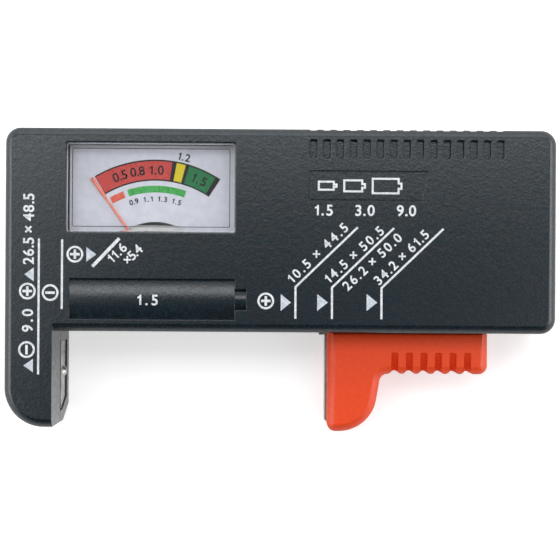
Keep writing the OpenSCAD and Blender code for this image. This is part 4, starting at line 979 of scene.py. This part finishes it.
RECIPES = {
    moulded: {
        "case_plastic": ((11, 20, 26), (14, 25, 32), (31, 45, 53), 2300.0, 4e-5, 0.24),
        "slider_plastic": ((228, 67, 27), (231, 72, 30), (235, 82, 40), 3000.0, 2.5e-6, 0.34, 0.35),
        "meter_plastic": ((204, 204, 203), (212, 212, 211), (220, 220, 219), 2000.0, 6e-6, 0.4)},
    clear_plastic: {"window_clear": ((250, 251, 253),)},
    card: {"scale_card": ((209, 211, 222), (219, 221, 231))},
    metal: {
        "contact_nickel": ((196, 198, 192), (150, 152, 146), (900.0, 150.0, 900.0), 0.3),
        "spring_bronze": ((196, 150, 98), (150, 108, 66), (300.0, 2500.0, 2500.0), 0.3),
        "brass_parts": ((212, 178, 98), (160, 128, 66), (2500.0, 2500.0, 300.0), 0.28),
        "screw_steel": ((176, 178, 182), (112, 112, 114), (2500.0, 2500.0, 400.0), 0.32),
        "yoke_steel": ((150, 152, 156), (104, 104, 106), (600.0, 600.0, 2500.0), 0.4),
        "former_aluminium": ((206, 208, 212), (160, 162, 166), (400.0, 2500.0, 2500.0), 0.35),
        "coil_copper": ((196, 104, 62), (140, 66, 38), (200.0, 9000.0, 9000.0), 0.35, 3e-5)},
    plain: {
        "hub_plastic": ((30, 30, 33), (40, 40, 43), 0.45, 500.0),
        "magnet": ((70, 70, 74), (92, 92, 96), 0.45, 500.0),
        "board_laminate": ((150, 112, 58), (166, 128, 72), 0.5, 700.0),
        "resistor_body": ((206, 186, 146), (190, 168, 126), 0.5, 900.0),
        "resistor_blue": ((88, 150, 190), (70, 130, 172), 0.4, 900.0),
        "wire_black": ((24, 24, 26), (34, 34, 36), 0.45, 300.0),
        "wire_red": ((176, 30, 28), (196, 44, 38), 0.45, 300.0),
        "wire_blue": ((32, 62, 150), (42, 78, 170), 0.45, 300.0),
        "pointer_paint": ((240, 118, 96), (248, 138, 116), 0.4, 600.0)},
    ink: {
        "white_ink": ((228, 231, 235), (196, 201, 207), 0.45, 0.35),
        "grey_ink": ((206, 213, 222), (176, 184, 194), 0.45, 0.35),
        "black_ink": ((10, 10, 13), (18, 18, 22), 0.6, 0.06),
        "red_ink": ((198, 62, 57), (206, 76, 70)),
        "yellow_ink": ((226, 204, 14), (228, 208, 48)),
        "green_ink": ((14, 112, 60), (28, 122, 72)),
        "small_red_ink": ((222, 84, 62), (228, 112, 92)),
        "small_green_ink": ((50, 162, 66), (84, 178, 96))}}
finishes = {name: make(name, *values) for make, table in RECIPES.items() for name, values in table.items()}


# ---------- studio ----------

def area_light(name, place, size, power):
    """A soft box that shines from a place towards the object."""
    lamp = bpy.data.lights.new(name, "AREA")
    lamp.shape, lamp.size, lamp.size_y, lamp.energy = "RECTANGLE", *size, power
    holder = placed(name, lamp)
    holder.visible_camera, holder.location = False, place
    holder.rotation_euler = (Vector(LAMP_AIM) - Vector(place)).to_track_quat("-Z", "Y").to_euler()


def floor():
    """Pale table top that keeps the object's shadow and reads as white where it is unshaded."""
    nodes = Finish("table_top", {"Specular IOR Level": 0.0, "Roughness": 0.9})
    colour = nodes.mix(nodes.use("flow marks", Scale=3.0)["Patches"], (236, 236, 237), (239, 239, 240))
    nodes.put(nodes.shader.inputs["Base Color"], colour)
    mirrored = nodes.times(nodes.add("LightPath").outputs["Is Glossy Ray"], MIRRORED_GLOW)
    strength = nodes.times(nodes.maths("MAXIMUM", nodes.seen(), mirrored), FLOOR_GLOW)
    glow = nodes.add("Emission", {"Color": (1, 1, 1, 1), "Strength": strength}).outputs[0]
    mesh = bpy.data.meshes.new("table_top")
    half = FLOOR_HALF
    corners = [(-half, -half, 0), (half, -half, 0), (half, half, 0), (-half, half, 0)]
    mesh.from_pydata(corners, [], [(0, 1, 2, 3)])
    mesh.materials.append(nodes.end_with("AddShader", {0: nodes.shader.outputs[0], 1: glow}))
    table = placed("table_top", mesh)


def studio():
    """World, lamps and camera."""
    world = bpy.data.worlds.new("studio")
    bpy.context.scene.world = world
    world.use_nodes = True
    nodes = Nodes(world.node_tree)
    parts = nodes.add("SeparateXYZ", {0: nodes.add("TexCoord").outputs["Generated"]}).outputs
    sides = nodes.maths("POWER", nodes.maths("ABSOLUTE", parts["X"]), SIDES_POWER)
    back = nodes.maths("POWER", nodes.maths("MAXIMUM", parts["Y"], 0.0), BACK_POWER)
    glow = nodes.maths("ADD", nodes.times(sides, WORLD_SIDES), nodes.times(back, WORLD_BACK))
    glow = {0: nodes.seen(), 2: nodes.maths("ADD", glow, WORLD_LOW), 3: 1.0}
    background = world.node_tree.nodes["Background"].inputs
    nodes.put(background["Strength"], nodes.add("Mix", glow, data_type="FLOAT").outputs[0])
    nodes.put(background["Color"], (1, 1, 1, 1))
    for lamp in LAMPS:
        area_light(*lamp)
    camera = bpy.data.cameras.new("camera")
    camera.lens, camera.sensor_width = LENS, SENSOR
    holder = placed("camera", camera)
    holder.location, holder.rotation_euler = CAMERA_AT, (0, 0, CAMERA_ROLL)
    bpy.context.scene.camera = holder
    bpy.context.scene.view_settings.view_transform = "Standard"


# ---------- the tester ----------

case, orange, clear = (finishes[name] for name in ("case_plastic", "slider_plastic", "window_clear"))
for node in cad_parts.values():
    for place in node.material_slots:
        place.material = finishes[place.material.name.split(".")[0]]

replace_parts(front_shell(case), "front_shell")
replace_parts(back_shell(case), "back_shell")
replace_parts(slider(orange), "slider")
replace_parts(meter_cover(clear), "meter_cover")
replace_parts(pointer(finishes["pointer_paint"]), "pointer")
case_marks()
dial()

floor()
studio()
